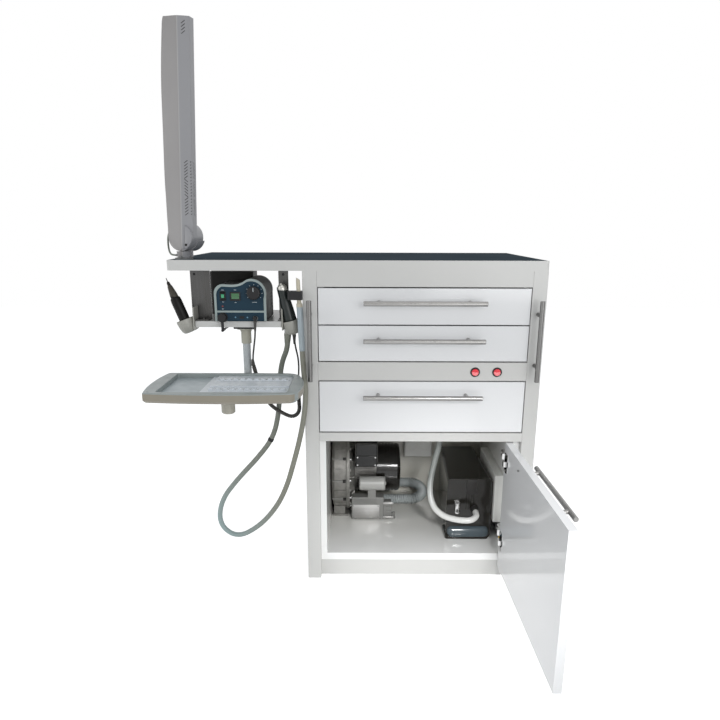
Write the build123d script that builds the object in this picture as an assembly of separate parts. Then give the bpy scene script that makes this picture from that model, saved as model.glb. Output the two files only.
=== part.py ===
from build123d import *
import math
import os

# Podiatry unit. Millimetres, Z up. The origin is on the floor under the middle of the cabinet,
# X runs along the front from left to right and Y runs from the front to the back.

os.makedirs("parts", exist_ok=True)

# Cabinet boards
CABINET_W = 600.0
DEPTH = 500.0
WORKTOP_Z = 860.0
WORKTOP_T = 25.0
OVERHANG = 328.0
EDGE_BORDER = 3.0
INLAY_T = 3.0
INLAY_PLAY = 0.2
PANEL_T = 36.0
BOARD_T = 16.0
BACK_T = 8.0
BACK_INSET = 12.0
SETBACK = 22.0
PLINTH_H = 46.0
BOTTOM_T = 20.0

# Fronts
FRONT_T = 19.0
SIDE_GAP = 2.0
GAP = 3.0
APRON_H = 38.0
DRAWER_FRONT_H = (89.0, 89.0, 133.5)
STRIP_H = 47.0
RAIL_H = 23.0
DOOR_BOTTOM = 38.0
EDGE_R = 1.0

# Drawer boxes and runners
BOX_H = (68.0, 68.0, 112.0)
BOX_BACK_ROOM = 41.0
BOX_WALL = 12.0
BOX_FLOOR_T = 6.0
BOX_FLOOR_UP = 8.0
BOX_RISE = 8.0
RUNNER_W = 13.0
RUNNER_START = 2.0
RUNNER_END_ROOM = 15.0
RUNNER_H = 40.0
RUNNER_UP = 12.0
RUNNER_SHEET = 1.5
RUNNER_MOUTH = 26.0
RUNNER_PLAY = 0.3
CHANNEL_W = 8.0

# Bar handles
BAR_D = 12.0
BAR_POST_D = 10.0
BAR_STAND_OFF = 34.0
BAR_LEN = 300.0
BAR_CENTRES = 224.0
GRIP_LEN = 200.0
GRIP_CENTRES = 128.0
GRIP_TOP_Z = 767.0
HANDLE_DROP = (34.0, 34.0, 35.0)
DOOR_HANDLE_DROP = 29.5

# Door hinge
DOOR_OPEN = 91.0
DOOR_AXIS_IN = 12.9
DOOR_AXIS_OUT = 8.6
HINGE_FROM_TOP = 50.0
HINGE_FROM_BOTTOM = 85.0
CUP_D = 35.0
CUP_DEPTH = 12.0
CUP_PLAY = 0.1
CUP_EDGE = 22.5
CUP_FLANGE_T = 1.2

# Switches in the fixed strip
SWITCH_X = (133.5, 189.0)
SWITCH_BEZEL_D = 24.5
SWITCH_BARREL_D = 20.0
SWITCH_HOLE_PLAY = 0.2
SWITCH_BARREL_LEN = 24.0
SWITCH_BEZEL_T = 2.5
ROCKER_D = 17.2
ROCKER_PLAY = 0.35
ROCKER_PIN_D = 2.0
ROCKER_PIN_PLAY = 0.05

# Instrument shelf under the overhang
SHELF_X0 = -574.0
SHELF_X1 = -355.0
SHELF_FRONT = 20.0
SHELF_DEPTH = 242.0
SHELF_TOP = 709.5
SHELF_T = 15.0
HANGER_T = 3.0
HANGER_SETBACK = 68.0
HANGER_FOOT = 42.0
HANGER_X = ((-590.0, -540.0), (-366.0, -341.0))
HANGER_FOOT_X = ((-573.0, -540.0), (-366.0, -356.0))

# Control unit on the shelf
UNIT_X = -520.0
UNIT_W = 128.0
UNIT_FRONT = 12.0
UNIT_DEPTH = 138.0
UNIT_FEET = 2.0
UNIT_SHOULDER = 90.0
UNIT_TOP = 103.0
UNIT_BEZEL_T = 9.0
UNIT_BEZEL_W = 5.5
UNIT_PANEL_SINK = 2.0
UNIT_FASCIA_H = 21.0
UNIT_BAR_H = 4.5
KNOB_X = -420.5
KNOB_Z = 781.0
KNOB_D = 32.0
KNOB_H = 14.0
KNOB_SHAFT_D = 6.0
KNOB_SHAFT_PLAY = 0.05
UNIT_ROCKER_X = -498.5
UNIT_ROCKER_Z = 773.0
UNIT_ROCKER_W = 11.0
UNIT_ROCKER_H = 19.0
UNIT_PIN_DEPTH = 4.0
UNIT_PIN_LEN = 1.6
INDICATOR_X = -500.0
INDICATOR_Z = 747.5
INDICATOR_D = 4.0
SLOT_X = -453.5
SLOT_W = 11.0
SLOT_H = 6.0
SLOT_RIM = 1.5
DISPLAY_X = -467.5
DISPLAY_Z = 772.0
DISPLAY_W = 25.0
DISPLAY_H = 21.0
SOCKET_Z = 720.0
POWER_BOX_X = -562.0
POWER_BOX_W = 116.0
POWER_BOX_D = 80.0
POWER_BOX_H = 113.0

# Instrument holders
HOLDER_TILT = (-21.0, -13.6)
HOLDER_RIM = ((-601.0, 712.0), (-334.0, 710.0))
HOLDER_Y = 30.0
CUP_RIM_D = 42.0
CUP_BASE_D = 31.0
CUP_H = 30.0
CUP_WALL = 2.5
CUP_FLOOR = 3.0
HOLDER_PLATE_T = 3.0
HANDPIECE_SEAT = 0.3
CLIP_Z = 766.0
CLIP_H = 21.0
CLIP_LEN = 36.0
WAND_D = 15.0
WAND_FOOT = (-302.5, -10.0, 640.0)
WAND_HEAD = (-309.0, -2.0, 787.0)
WAND_NECK_D = 11.0

# Tray on its swivelling arm
COLUMN_X = -451.0
COLUMN_Y = 50.0
COLUMN_D = 26.0
COLUMN_BORE_PLAY = 0.1
COLUMN_Z0 = 650.0
ARM_TUBE_D = 20.0
ARM_Z = 534.0
ARM_H = 16.0
HUB_X = -478.0
HUB_Y = -92.0
HUB_D = 33.5
HUB_Z0 = 502.0
HUB_PIN_D = 14.0
HUB_PLAY = 0.1
TRAY_Z0 = 553.0
TRAY_TOP = 577.0
TRAY_X0 = -650.0
TRAY_X1 = -303.0
TRAY_BACK = 22.0
TRAY_FRONT = -196.0
TRAY_BULGE = 12.0
TRAY_CUT = 19.0
TRAY_CORNER_R = 24.0
TRAY_BACK_R = 44.0
TRAY_RIM = 12.0
TRAY_WALL = 3.0
INSERT_PLAY = 0.4
RACK_SLOTS = (11, 10)
RACK_PITCH = 17.0

# Lamp
LAMP_X = -598.0
LAMP_Y = 55.0
LAMP_PLATE_D = 44.0
LAMP_PLATE_T = 3.0
LAMP_NECK_D = 30.0
LAMP_AXIS_Z = 913.0
LAMP_LEAN = 3.1
LAMP_TURN = -13.0
LAMP_W = 67.0
LAMP_LEFT = ((0.0, -33.5), (109.0, -38.0), (243.0, -40.0), (335.0, -41.0), (458.0, -35.0))
LAMP_T = 26.0
LAMP_FRONT = -16.0
LAMP_RIDGE = 5.0
LAMP_RIDGE_X = 3.5
LAMP_H = 479.0
DRUM_D = 66.0
DRUM_LEN = 34.0
DRUM_PIN_D = 12.0
DRUM_PLAY = 0.1
LEAD_BOSS_D = 8.0
LEAD_BOSS_REACH = 38.0
LEAD_BOSS_TURN = 160.0
LEAD_BOSS_Y = 24.0
NECK_GLAND_D = 7.0
NECK_GLAND_UP = 9.0
NECK_GLAND_REACH = 20.0

# Side-channel blower
BLOWER_X = -245.0
BLOWER_Y = 345.0
BLOWER_Z = 203.0
BLOWER_R = 128.0
BLOWER_RIB = 3.0
BLOWER_RIBS = 12
BLOWER_W = 45.0
DISC_T = 11.0
DISC_R = 132.0
COLLAR_T = 16.0
COLLAR_R = 92.0
MOTOR_L = 66.0
MOTOR_R = 68.0
MOTOR_ROOT_R = 62.0
MOTOR_FINS = 28
FAN_L = 74.0
FAN_R = 76.0
BLOWER_PORT_Z = 92.0
BLOWER_PORT_D = 26.0
BLOWER_PORT_L = 24.0

# Small pump in front of the blower
PUMP_X = -184.0
PUMP_W = 100.0
PUMP_Y = 240.0
PUMP_D = 36.0
PUMP_H = 74.0
CAP_X = -159.5
CAP_L = 76.5
CAP_R = 21.5
CAP_Y = 248.0
CAP_Z = 184.0

# Separator tank and trunking
TANK_X = 92.0
TANK_W = 130.0
TANK_FRONT = 118.0
TANK_LEN = 312.0
TANK_H = 184.0
TANK_PORT_X = 172.0
TANK_PORT_Z = 158.0
TANK_PORT_D = 13.0
TRUNK_T = 24.0
TRUNK_FRONT = 100.0
TRUNK_LEN = 250.0
TRUNK_Z0 = 125.0
TRUNK_H = 142.0
OUTLET_X = -12.0
OUTLET_W = 92.0
OUTLET_T = 40.0
OUTLET_Z0 = 202.0
OUTLET_H = 78.0

# Hoses and cables
SUCTION_D = 13.5
WHITE_HOSE_D = 17.0
RIBBED_D = 33.0
RIBBED_VALLEY_D = 28.0
RIBBED_BORE_D = 26.2
RIB_PITCH = 6.6
HOSE_TURN_X = 2.0
HOSE_END_X = -36.0
HOSE_BACK_Y = 430.0
HOSE_RISE = 24.0
ELBOW_D = 31.0
ELBOW_OUT = 28.0
ELBOW_R = 20.0
CABLE_D = 4.5
CURL_D = 11.0

# Planes worked out from the sizes above
FRONT = -DEPTH / 2
REAR = DEPTH / 2
UNDER = WORKTOP_Z - WORKTOP_T
HALF = CABINET_W / 2
INNER = HALF - PANEL_T
CLEAR = INNER - BOARD_T
FRONT_HALF = INNER - SIDE_GAP
BACK_Y = REAR - BACK_INSET - BACK_T
FLOOR_Z = PLINTH_H + BOTTOM_T
BOX_END = BACK_Y - BOX_BACK_ROOM
RUNNER_Y0 = FRONT + SETBACK + RUNNER_START
RUNNER_Y1 = BOX_END - RUNNER_END_ROOM


def behind(depth):
    """Y of a place that lies this far behind the cabinet's front plane."""
    return FRONT + depth


def block(x0, x1, y0, y1, z0, z1):
    """A box given by its limits."""
    return Pos((x0 + x1) / 2, (y0 + y1) / 2, (z0 + z1) / 2) * Box(x1 - x0, y1 - y0, z1 - z0)


def rod(start, end, diameter):
    """A round bar between two points."""
    a, b = Vector(*start), Vector(*end)
    return extrude(Plane(origin=a, z_dir=b - a) * Circle(diameter / 2), (b - a).length)


def save(name, *solids):
    """Write one node; several solids in it stay separate."""
    shape = solids[0] if len(solids) == 1 else Compound(children=list(solids))
    export_step(shape, f"parts/{name}.step")


def soft_block(x0, x1, y0, y1, z0, z1, radius, axis=Axis.Z):
    """A box whose edges along one axis are rounded."""
    solid = block(x0, x1, y0, y1, z0, z1)
    return fillet(solid.edges().filter_by(axis), radius)


# Levels of the fronts, from the worktop down
def front_levels():
    levels = {"apron": (UNDER - APRON_H, UNDER)}
    top = UNDER - APRON_H - GAP
    for name, height in (
        ("drawer_1", DRAWER_FRONT_H[0]),
        ("drawer_2", DRAWER_FRONT_H[1]),
        ("strip", STRIP_H),
        ("drawer_3", DRAWER_FRONT_H[2]),
        ("rail", RAIL_H),
    ):
        levels[name] = (top - height, top)
        top -= height + GAP
    levels["door"] = (DOOR_BOTTOM, top)
    return levels


LEVEL = front_levels()
SWITCH_Z = sum(LEVEL["strip"]) / 2 - 1.0
DIVIDER_Z = LEVEL["rail"][0] + SIDE_GAP
HOSE_HOLE = (72.0, behind(150.0))


def cabinet():
    panels = []
    for side in (-1, 1):
        inner, outer = sorted((side * INNER, side * HALF))
        panels.append(block(inner, outer, FRONT, REAR, 0, UNDER))
    save("side_panels", *[chamfer(p.edges().filter_by(Axis.Z), EDGE_R) for p in panels])

    rails = [
        block(-INNER, INNER, FRONT, FRONT + FRONT_T, *LEVEL["apron"]),
        block(-INNER, INNER, FRONT, FRONT + FRONT_T, *LEVEL["rail"]),
    ]
    save("front_rails", *rails)

    inside = FRONT + SETBACK
    boards = []
    for side in (-1, 1):
        inner, outer = sorted((side * CLEAR, side * INNER))
        boards.append(block(inner, outer, inside, BACK_Y, PLINTH_H, UNDER))
    boards.append(block(-CLEAR, CLEAR, inside, BACK_Y, PLINTH_H, FLOOR_Z))
    divider = block(-CLEAR, CLEAR, inside, BACK_Y, DIVIDER_Z, DIVIDER_Z + BOARD_T)
    divider -= Pos(*HOSE_HOLE, DIVIDER_Z) * Cylinder(WHITE_HOSE_D / 2 + 2, 3 * BOARD_T)
    save("carcass_boards", *boards, divider)

    plinth = block(-INNER, INNER, inside, BACK_Y + BACK_T, 0, PLINTH_H)
    plinth -= block(-CLEAR, CLEAR, inside + BOARD_T, BACK_Y + BACK_T - BOARD_T, -1, PLINTH_H + 1)
    save("plinth", plinth)

    save("back_panel", block(-INNER, INNER, BACK_Y, BACK_Y + BACK_T, PLINTH_H, UNDER))

    left, right = -HALF - OVERHANG, HALF
    top = soft_block(left, right, FRONT, REAR, UNDER, WORKTOP_Z, 4.0)
    recess = (left + EDGE_BORDER, right - EDGE_BORDER, FRONT + EDGE_BORDER, REAR - EDGE_BORDER)
    top -= soft_block(*recess, WORKTOP_Z - INLAY_T, WORKTOP_Z + 1, 2.0)
    save("worktop_board", top)
    inlay = soft_block(
        recess[0] + INLAY_PLAY,
        recess[1] - INLAY_PLAY,
        recess[2] + INLAY_PLAY,
        recess[3] - INLAY_PLAY,
        WORKTOP_Z - INLAY_T,
        WORKTOP_Z,
        1.8,
    )
    save("worktop_inlay", inlay)


def control_strip():
    z0, z1 = LEVEL["strip"]
    strip = block(-INNER, INNER, FRONT, FRONT + FRONT_T, z0, z1)
    bodies = []
    for number, x in enumerate(SWITCH_X, 1):
        hole_d = SWITCH_BARREL_D + 2 * SWITCH_HOLE_PLAY
        strip -= Pos(x, FRONT + FRONT_T / 2, SWITCH_Z) * Rot(X=90) * Cylinder(hole_d / 2, 3 * FRONT_T)
        bodies.append(switch_body(x))
        save(f"switch_rocker_{number}", switch_rocker(x))
    save("control_strip", strip)
    save("switch_bodies", *bodies)


def switch_body(x):
    """Bezel and barrel of one round switch, open at the front for its rocker."""
    face = FRONT - SWITCH_BEZEL_T
    bezel = rod((x, face, SWITCH_Z), (x, FRONT, SWITCH_Z), SWITCH_BEZEL_D)
    bezel = chamfer(bezel.edges().sort_by(Axis.Y)[0], 1.2)
    barrel = rod((x, FRONT, SWITCH_Z), (x, FRONT + SWITCH_BARREL_LEN, SWITCH_Z), SWITCH_BARREL_D)
    mouth = rod((x, face - 1, SWITCH_Z), (x, FRONT + 12, SWITCH_Z), ROCKER_D + 2 * ROCKER_PLAY)
    reach = SWITCH_BARREL_D / 2 - 0.4
    pins = rod((x - reach, FRONT, SWITCH_Z), (x + reach, FRONT, SWITCH_Z), ROCKER_PIN_D + 2 * ROCKER_PIN_PLAY)
    body = bezel + barrel - mouth - pins
    y = FRONT + SWITCH_BARREL_LEN
    for z in (SWITCH_Z - 5, SWITCH_Z + 5):
        body += block(x - 0.4, x + 0.4, y, y + 8, z - 2.4, z + 2.4)
    return body


def wedge(x, half, points):
    """Cutting block along X with the given (y, z) outline."""
    with BuildPart() as cut:
        with BuildSketch(Plane.YZ.offset(x - half)):
            with BuildLine():
                Polyline(*points, close=True)
            make_face()
        extrude(amount=2 * half)
    return cut.part


def switch_rocker(x):
    """Round rocker with two sloping faces, on its cross pin."""
    half = ROCKER_D / 2
    cap = rod((x, FRONT - 5, SWITCH_Z), (x, FRONT + 6, SWITCH_Z), ROCKER_D)
    for side in (-1, 1):
        rim = SWITCH_Z + side * (half + 1)
        face = [(FRONT - 6, SWITCH_Z), (FRONT - 2.2, SWITCH_Z), (FRONT - 4.4, rim), (FRONT - 6, rim)]
        heel = [(FRONT + 6.1, SWITCH_Z + side * 2), (FRONT + 6.1, rim), (FRONT + 1.2, rim)]
        cap -= wedge(x, half + 1, face)
        cap -= wedge(x, half + 1, heel)
    reach = SWITCH_BARREL_D / 2 - 0.6
    return cap + rod((x - reach, FRONT, SWITCH_Z), (x + reach, FRONT, SWITCH_Z), ROCKER_PIN_D)


def bar_handle(length, centres):
    """Bar along X through the origin, with two posts that reach the face behind it."""
    bar = rod((-length / 2, 0, 0), (length / 2, 0, 0), BAR_D)
    bar = chamfer(bar.edges().filter_by(GeomType.CIRCLE), 0.8)
    for x in (-centres / 2, centres / 2):
        bar += rod((x, 0, 0), (x, BAR_STAND_OFF, 0), BAR_POST_D)
    return bar


def grips():
    solids = []
    for side in (-1, 1):
        x = side * (INNER + HALF) / 2
        z = GRIP_TOP_Z - GRIP_LEN / 2
        upright = Rot(Y=90) * bar_handle(GRIP_LEN, GRIP_CENTRES)
        solids.append(Pos(x, FRONT - BAR_STAND_OFF, z) * upright)
    save("post_grips", *solids)


def runner_centre(index):
    z0 = LEVEL[f"drawer_{index + 1}"][0]
    return z0 + BOX_RISE + RUNNER_UP + RUNNER_H / 2


def channel(side, z):
    """Fixed C channel on the carcass side, open towards the drawer, with lips."""
    y0, y1 = RUNNER_Y0, RUNNER_Y1
    x0, x1 = sorted((side * (CLEAR - CHANNEL_W), side * CLEAR))
    shell = block(x0, x1, y0, y1, z - RUNNER_H / 2, z + RUNNER_H / 2)
    cave_x = sorted((side * (CLEAR - CHANNEL_W + RUNNER_SHEET), side * (CLEAR - RUNNER_SHEET)))
    cave_z = RUNNER_H / 2 - RUNNER_SHEET
    shell -= block(*cave_x, y0 - 1, y1 + 1, z - cave_z, z + cave_z)
    mouth_x = sorted((side * (CLEAR - CHANNEL_W - 1), side * (CLEAR - RUNNER_SHEET)))
    shell -= block(*mouth_x, y0 - 1, y1 + 1, z - RUNNER_MOUTH / 2, z + RUNNER_MOUTH / 2)
    return shell


def slider(side, z):
    """Moving rail on the drawer side: foot plate, neck and a tongue held by the channel's lips."""
    y0, y1 = RUNNER_Y0, RUNNER_Y1
    face = CLEAR - RUNNER_W
    lip_in = CLEAR - CHANNEL_W
    tongue_z = RUNNER_H / 2 - RUNNER_SHEET - RUNNER_PLAY
    neck_z = RUNNER_MOUTH / 2 - RUNNER_PLAY
    foot = block(*sorted((side * face, side * (face + RUNNER_SHEET))), y0, y1, z - tongue_z, z + tongue_z)
    neck_x = sorted((side * face, side * (lip_in + RUNNER_SHEET + RUNNER_PLAY + 1)))
    neck = block(*neck_x, y0, y1, z - neck_z, z + neck_z)
    tongue_x = sorted(
        (side * (lip_in + RUNNER_SHEET + RUNNER_PLAY), side * (CLEAR - RUNNER_SHEET - RUNNER_PLAY))
    )
    tongue = block(*tongue_x, y0, y1, z - tongue_z, z + tongue_z)
    return foot + neck + tongue


def drawers():
    fixed = []
    for index in range(3):
        z0, z1 = LEVEL[f"drawer_{index + 1}"]
        front = block(-FRONT_HALF, FRONT_HALF, FRONT, FRONT + FRONT_T, z0, z1)
        front = fillet(front.edges().group_by(Axis.Y)[0], EDGE_R)
        half = CLEAR - RUNNER_W
        box_y0 = FRONT + FRONT_T
        box_z0 = z0 + BOX_RISE
        box_z1 = box_z0 + BOX_H[index]
        clear = half - BOX_WALL
        floor_z = box_z0 + BOX_FLOOR_UP
        boards = [
            block(-half, -clear, box_y0, BOX_END, box_z0, box_z1),
            block(clear, half, box_y0, BOX_END, box_z0, box_z1),
            block(-clear, clear, box_y0, box_y0 + BOX_WALL, box_z0, box_z1),
            block(-clear, clear, BOX_END - BOX_WALL, BOX_END, box_z0, box_z1),
            block(-clear, clear, box_y0 + BOX_WALL, BOX_END - BOX_WALL, floor_z, floor_z + BOX_FLOOR_T),
        ]
        z = runner_centre(index)
        rails = [slider(side, z) for side in (-1, 1)]
        fixed += [channel(side, z) for side in (-1, 1)]
        save(f"drawer_{index + 1}", front, *boards, *rails)
        handle = bar_handle(BAR_LEN, BAR_CENTRES)
        save(f"drawer_{index + 1}_handle", Pos(0, FRONT - BAR_STAND_OFF, z1 - HANDLE_DROP[index]) * handle)
    save("fixed_runners", *fixed)


DOOR_AXIS = (FRONT_HALF - DOOR_AXIS_IN + SIDE_GAP, FRONT - DOOR_AXIS_OUT)
HINGE_Z = (LEVEL["door"][0] + HINGE_FROM_BOTTOM, LEVEL["door"][1] - HINGE_FROM_TOP)


def opened(shape):
    """Swing a piece of the closed door to the open place that it rests in."""
    axis = Axis((*DOOR_AXIS, 0), (0, 0, 1))
    return shape.rotate(axis, DOOR_OPEN)


def door():
    z0, z1 = LEVEL["door"]
    panel = block(-FRONT_HALF, FRONT_HALF, FRONT, FRONT + FRONT_T, z0, z1)
    panel = fillet(panel.edges().group_by(Axis.Y)[0], EDGE_R)
    cup_x = FRONT_HALF - CUP_EDGE
    inner_y = FRONT + FRONT_T
    cups = []
    for z in HINGE_Z:
        cup_end = inner_y - CUP_DEPTH - CUP_PLAY
        panel -= rod((cup_x, cup_end, z), (cup_x, inner_y + 1, z), CUP_D + 2 * CUP_PLAY)
        cups.append(opened(hinge_cup(cup_x, inner_y, z)))
    save("door_panel", opened(panel))
    save("door_hinge_cups", *cups)
    handle = Pos(0, FRONT - BAR_STAND_OFF, z1 - DOOR_HANDLE_DROP) * bar_handle(BAR_LEN, BAR_CENTRES)
    save("door_handle", opened(handle))
    save("hinge_arms", *[hinge_arm(z) for z in HINGE_Z])


def hinge_cup(x, y, z):
    """Hinge cup sunk in the door, with its flange and the knuckle that the arm takes."""
    cup = rod((x, y - CUP_DEPTH, z), (x, y, z), CUP_D)
    cup -= rod((x, y - CUP_DEPTH + 1.5, z), (x, y + 1, z), CUP_D - 3)
    flange = block(x - 14, x + CUP_D / 2 - 1, y, y + CUP_FLANGE_T, z - 26, z + 26)
    flange = fillet(flange.edges().filter_by(Axis.Y), 5)
    flange -= rod((x, y - 1, z), (x, y + 3, z), CUP_D - 3)
    knuckle = block(x - 10, x + 6, y - CUP_DEPTH + 1, y + 10, z - 7, z + 7)
    knuckle = fillet(knuckle.edges().filter_by(Axis.Z).group_by(Axis.Y)[-1], 5)
    return cup + flange + knuckle


def hinge_arm(z):
    """Mounting plate on the carcass side with the arm that reaches towards the door."""
    plate = block(CLEAR - 3, CLEAR, FRONT + 42, FRONT + 78, z - 25, z + 25)
    plate = fillet(plate.edges().filter_by(Axis.X), 6)
    with BuildPart() as arm:
        with BuildSketch(Plane.XY.offset(z - 8)):
            with BuildLine():
                Polyline(
                    (CLEAR - 3, FRONT + 76),
                    (CLEAR - 14, FRONT + 76),
                    (CLEAR - 18, FRONT + 60),
                    (CLEAR - 24, FRONT + 34),
                    (CLEAR - 16, FRONT + 32),
                    (CLEAR - 9, FRONT + 50),
                    (CLEAR - 3, FRONT + 52),
                    close=True,
                )
            make_face()
        extrude(amount=16)
    screws = rod((CLEAR - 3, FRONT + 60, z - 17), (CLEAR - 5, FRONT + 60, z - 17), 8)
    screws += rod((CLEAR - 3, FRONT + 60, z + 17), (CLEAR - 5, FRONT + 60, z + 17), 8)
    return plate + arm.part + screws


def shelf():
    y0 = behind(SHELF_FRONT)
    board = block(SHELF_X0, SHELF_X1, y0, y0 + SHELF_DEPTH, SHELF_TOP - SHELF_T, SHELF_TOP)
    board = fillet(board.edges().filter_by(Axis.Z).group_by(Axis.Y)[0], 3)
    board -= Pos(PLUG_GLAND[0], PLUG_GLAND[1], SHELF_TOP) * Cylinder(8, 3 * SHELF_T)
    save("instrument_shelf", board)
    plates = []
    for (x0, x1), foot_x in zip(HANGER_X, HANGER_FOOT_X):
        y = behind(HANGER_SETBACK)
        upright = block(x0, x1, y, y + HANGER_T, SHELF_TOP, UNDER)
        foot = block(*foot_x, y - HANGER_FOOT, y, SHELF_TOP, SHELF_TOP + HANGER_T)
        head = block(x0, x1, y + HANGER_T, y + HANGER_T + 34, UNDER - HANGER_T, UNDER)
        screw = Pos(sum(foot_x) / 2, y - HANGER_FOOT / 2, SHELF_TOP + HANGER_T + 1) * Cylinder(4, 2)
        plates.append(upright + foot + head + screw)
    save("hanger_plates", *plates)


PLUG_GLAND = (-505.0, behind(110.0))


def unit_outline(grow=0.0):
    """Wave-topped front outline of the control unit, as a face in its own plane."""
    w = UNIT_W + grow
    low = UNIT_SHOULDER + grow
    high = UNIT_TOP + grow
    with BuildSketch(Plane.XZ) as outline:
        with BuildLine():
            Line((-grow, -grow), (-grow, low - 22))
            TangentArc((-grow, low - 22), (20, low), tangent=(0, 1))
            Spline((20, low), (46, low - 1), (72, low + 5), (93, high), tangents=[(1, 0), (1, 0)])
            TangentArc((93, high), (w, high - 42), tangent=(1, 0))
            Line((w, high - 42), (w, -grow))
            Line((w, -grow), (-grow, -grow))
        make_face()
    return outline.sketch


def control_unit():
    z0 = SHELF_TOP + UNIT_FEET
    place = Pos(UNIT_X, behind(UNIT_FRONT), z0)
    outline = place * unit_outline()
    front = behind(UNIT_FRONT)
    inner = place * unit_outline(-UNIT_BEZEL_W)
    whole = extrude(outline, UNIT_BEZEL_T, dir=(0, 1, 0))
    opening = extrude(inner, UNIT_BEZEL_T, dir=(0, 1, 0)) + block(
        UNIT_X + UNIT_BEZEL_W,
        UNIT_X + UNIT_W - UNIT_BEZEL_W,
        front,
        front + UNIT_BEZEL_T,
        z0,
        z0 + 2 * UNIT_BEZEL_W,
    )
    bar_z = z0 + UNIT_FASCIA_H
    bar = block(UNIT_X, UNIT_X + UNIT_W, front, front + UNIT_BEZEL_T, bar_z, bar_z + UNIT_BAR_H)
    bezel = whole - opening + (bar & opening)
    save("unit_bezel", bezel)

    panel = opening & block(
        UNIT_X, UNIT_X + UNIT_W, front + UNIT_PANEL_SINK, front + UNIT_BEZEL_T, z0, z0 + UNIT_TOP
    )
    panel -= bar
    pocket = (UNIT_ROCKER_W / 2 + 0.4, UNIT_ROCKER_H / 2 + 0.4)
    panel -= block(
        UNIT_ROCKER_X - pocket[0],
        UNIT_ROCKER_X + pocket[0],
        front,
        front + UNIT_BEZEL_T + 1,
        UNIT_ROCKER_Z - pocket[1],
        UNIT_ROCKER_Z + pocket[1],
    )
    pin_y = front + UNIT_PIN_DEPTH
    pin_reach = UNIT_ROCKER_W / 2 + UNIT_PIN_LEN
    panel -= rod(
        (UNIT_ROCKER_X - pin_reach - 0.3, pin_y, UNIT_ROCKER_Z),
        (UNIT_ROCKER_X + pin_reach + 0.3, pin_y, UNIT_ROCKER_Z),
        ROCKER_PIN_D + 2 * ROCKER_PIN_PLAY,
    )
    panel -= block(
        DISPLAY_X - DISPLAY_W / 2,
        DISPLAY_X + DISPLAY_W / 2,
        front,
        front + UNIT_PANEL_SINK + 3,
        DISPLAY_Z - DISPLAY_H / 2,
        DISPLAY_Z + DISPLAY_H / 2,
    )
    shaft_hole = KNOB_SHAFT_D + 2 * KNOB_SHAFT_PLAY
    panel -= rod((KNOB_X, front, KNOB_Z), (KNOB_X, front + UNIT_BEZEL_T + 1, KNOB_Z), shaft_hole)
    save("unit_panel", *panel.solids())

    body = extrude(outline, UNIT_DEPTH, dir=(0, 1, 0))
    body -= extrude(outline, UNIT_BEZEL_T, dir=(0, 1, 0))
    body = fillet(body.edges().group_by(Axis.Y)[-1], 4)
    body -= rod((KNOB_X, front, KNOB_Z), (KNOB_X, front + UNIT_BEZEL_T + 14, KNOB_Z), shaft_hole)
    body -= block(
        UNIT_ROCKER_X - pocket[0],
        UNIT_ROCKER_X + pocket[0],
        front,
        front + UNIT_BEZEL_T + 6,
        UNIT_ROCKER_Z - pocket[1],
        UNIT_ROCKER_Z + pocket[1],
    )
    for k in range(5):
        z = z0 + 22 + 9 * k
        body -= block(UNIT_X + UNIT_W - 1.5, UNIT_X + UNIT_W + 1, front + 80, front + 124, z, z + 4)
    for dx in (14, UNIT_W - 14):
        for dy in (18, UNIT_DEPTH - 14):
            body += Pos(UNIT_X + dx, front + dy, z0 - UNIT_FEET / 2) * Cylinder(6, UNIT_FEET)
    box = soft_block(
        POWER_BOX_X,
        POWER_BOX_X + POWER_BOX_W,
        front + UNIT_DEPTH + 14,
        front + UNIT_DEPTH + 14 + POWER_BOX_D,
        SHELF_TOP,
        SHELF_TOP + POWER_BOX_H,
        6.0,
    )
    save("unit_housing", body, box)

    knob = rod((KNOB_X, front + UNIT_PANEL_SINK - 0.4, KNOB_Z), (KNOB_X, front - KNOB_H, KNOB_Z), KNOB_D)
    knob = fillet(knob.edges().group_by(Axis.Y)[0], 2.5)
    for k in range(18):
        turn = math.radians(20 * k)
        x = KNOB_X + (KNOB_D / 2 + 0.6) * math.cos(turn)
        z = KNOB_Z + (KNOB_D / 2 + 0.6) * math.sin(turn)
        knob -= rod((x, front + 3, z), (x, front - KNOB_H + 3.5, z), 3.0)
    cap_y = front - KNOB_H
    knob -= block(KNOB_X - 0.6, KNOB_X + 0.6, cap_y - 1, cap_y + 0.8, KNOB_Z + 4, KNOB_Z + 12)
    knob += rod((KNOB_X, front, KNOB_Z), (KNOB_X, front + UNIT_BEZEL_T + 12, KNOB_Z), KNOB_SHAFT_D)
    save("unit_knob", knob)

    rocker = block(
        UNIT_ROCKER_X - UNIT_ROCKER_W / 2,
        UNIT_ROCKER_X + UNIT_ROCKER_W / 2,
        front - 1,
        front + UNIT_BEZEL_T + 1,
        UNIT_ROCKER_Z - UNIT_ROCKER_H / 2 + 1,
        UNIT_ROCKER_Z + UNIT_ROCKER_H / 2 - 1,
    )
    hollow = rod(
        (UNIT_ROCKER_X - 10, front - 16, UNIT_ROCKER_Z), (UNIT_ROCKER_X + 10, front - 16, UNIT_ROCKER_Z), 34.5
    )
    pin = rod(
        (UNIT_ROCKER_X - pin_reach, pin_y, UNIT_ROCKER_Z),
        (UNIT_ROCKER_X + pin_reach, pin_y, UNIT_ROCKER_Z),
        ROCKER_PIN_D,
    )
    save("unit_rocker", rocker - hollow + pin)

    fittings(front)


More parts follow.
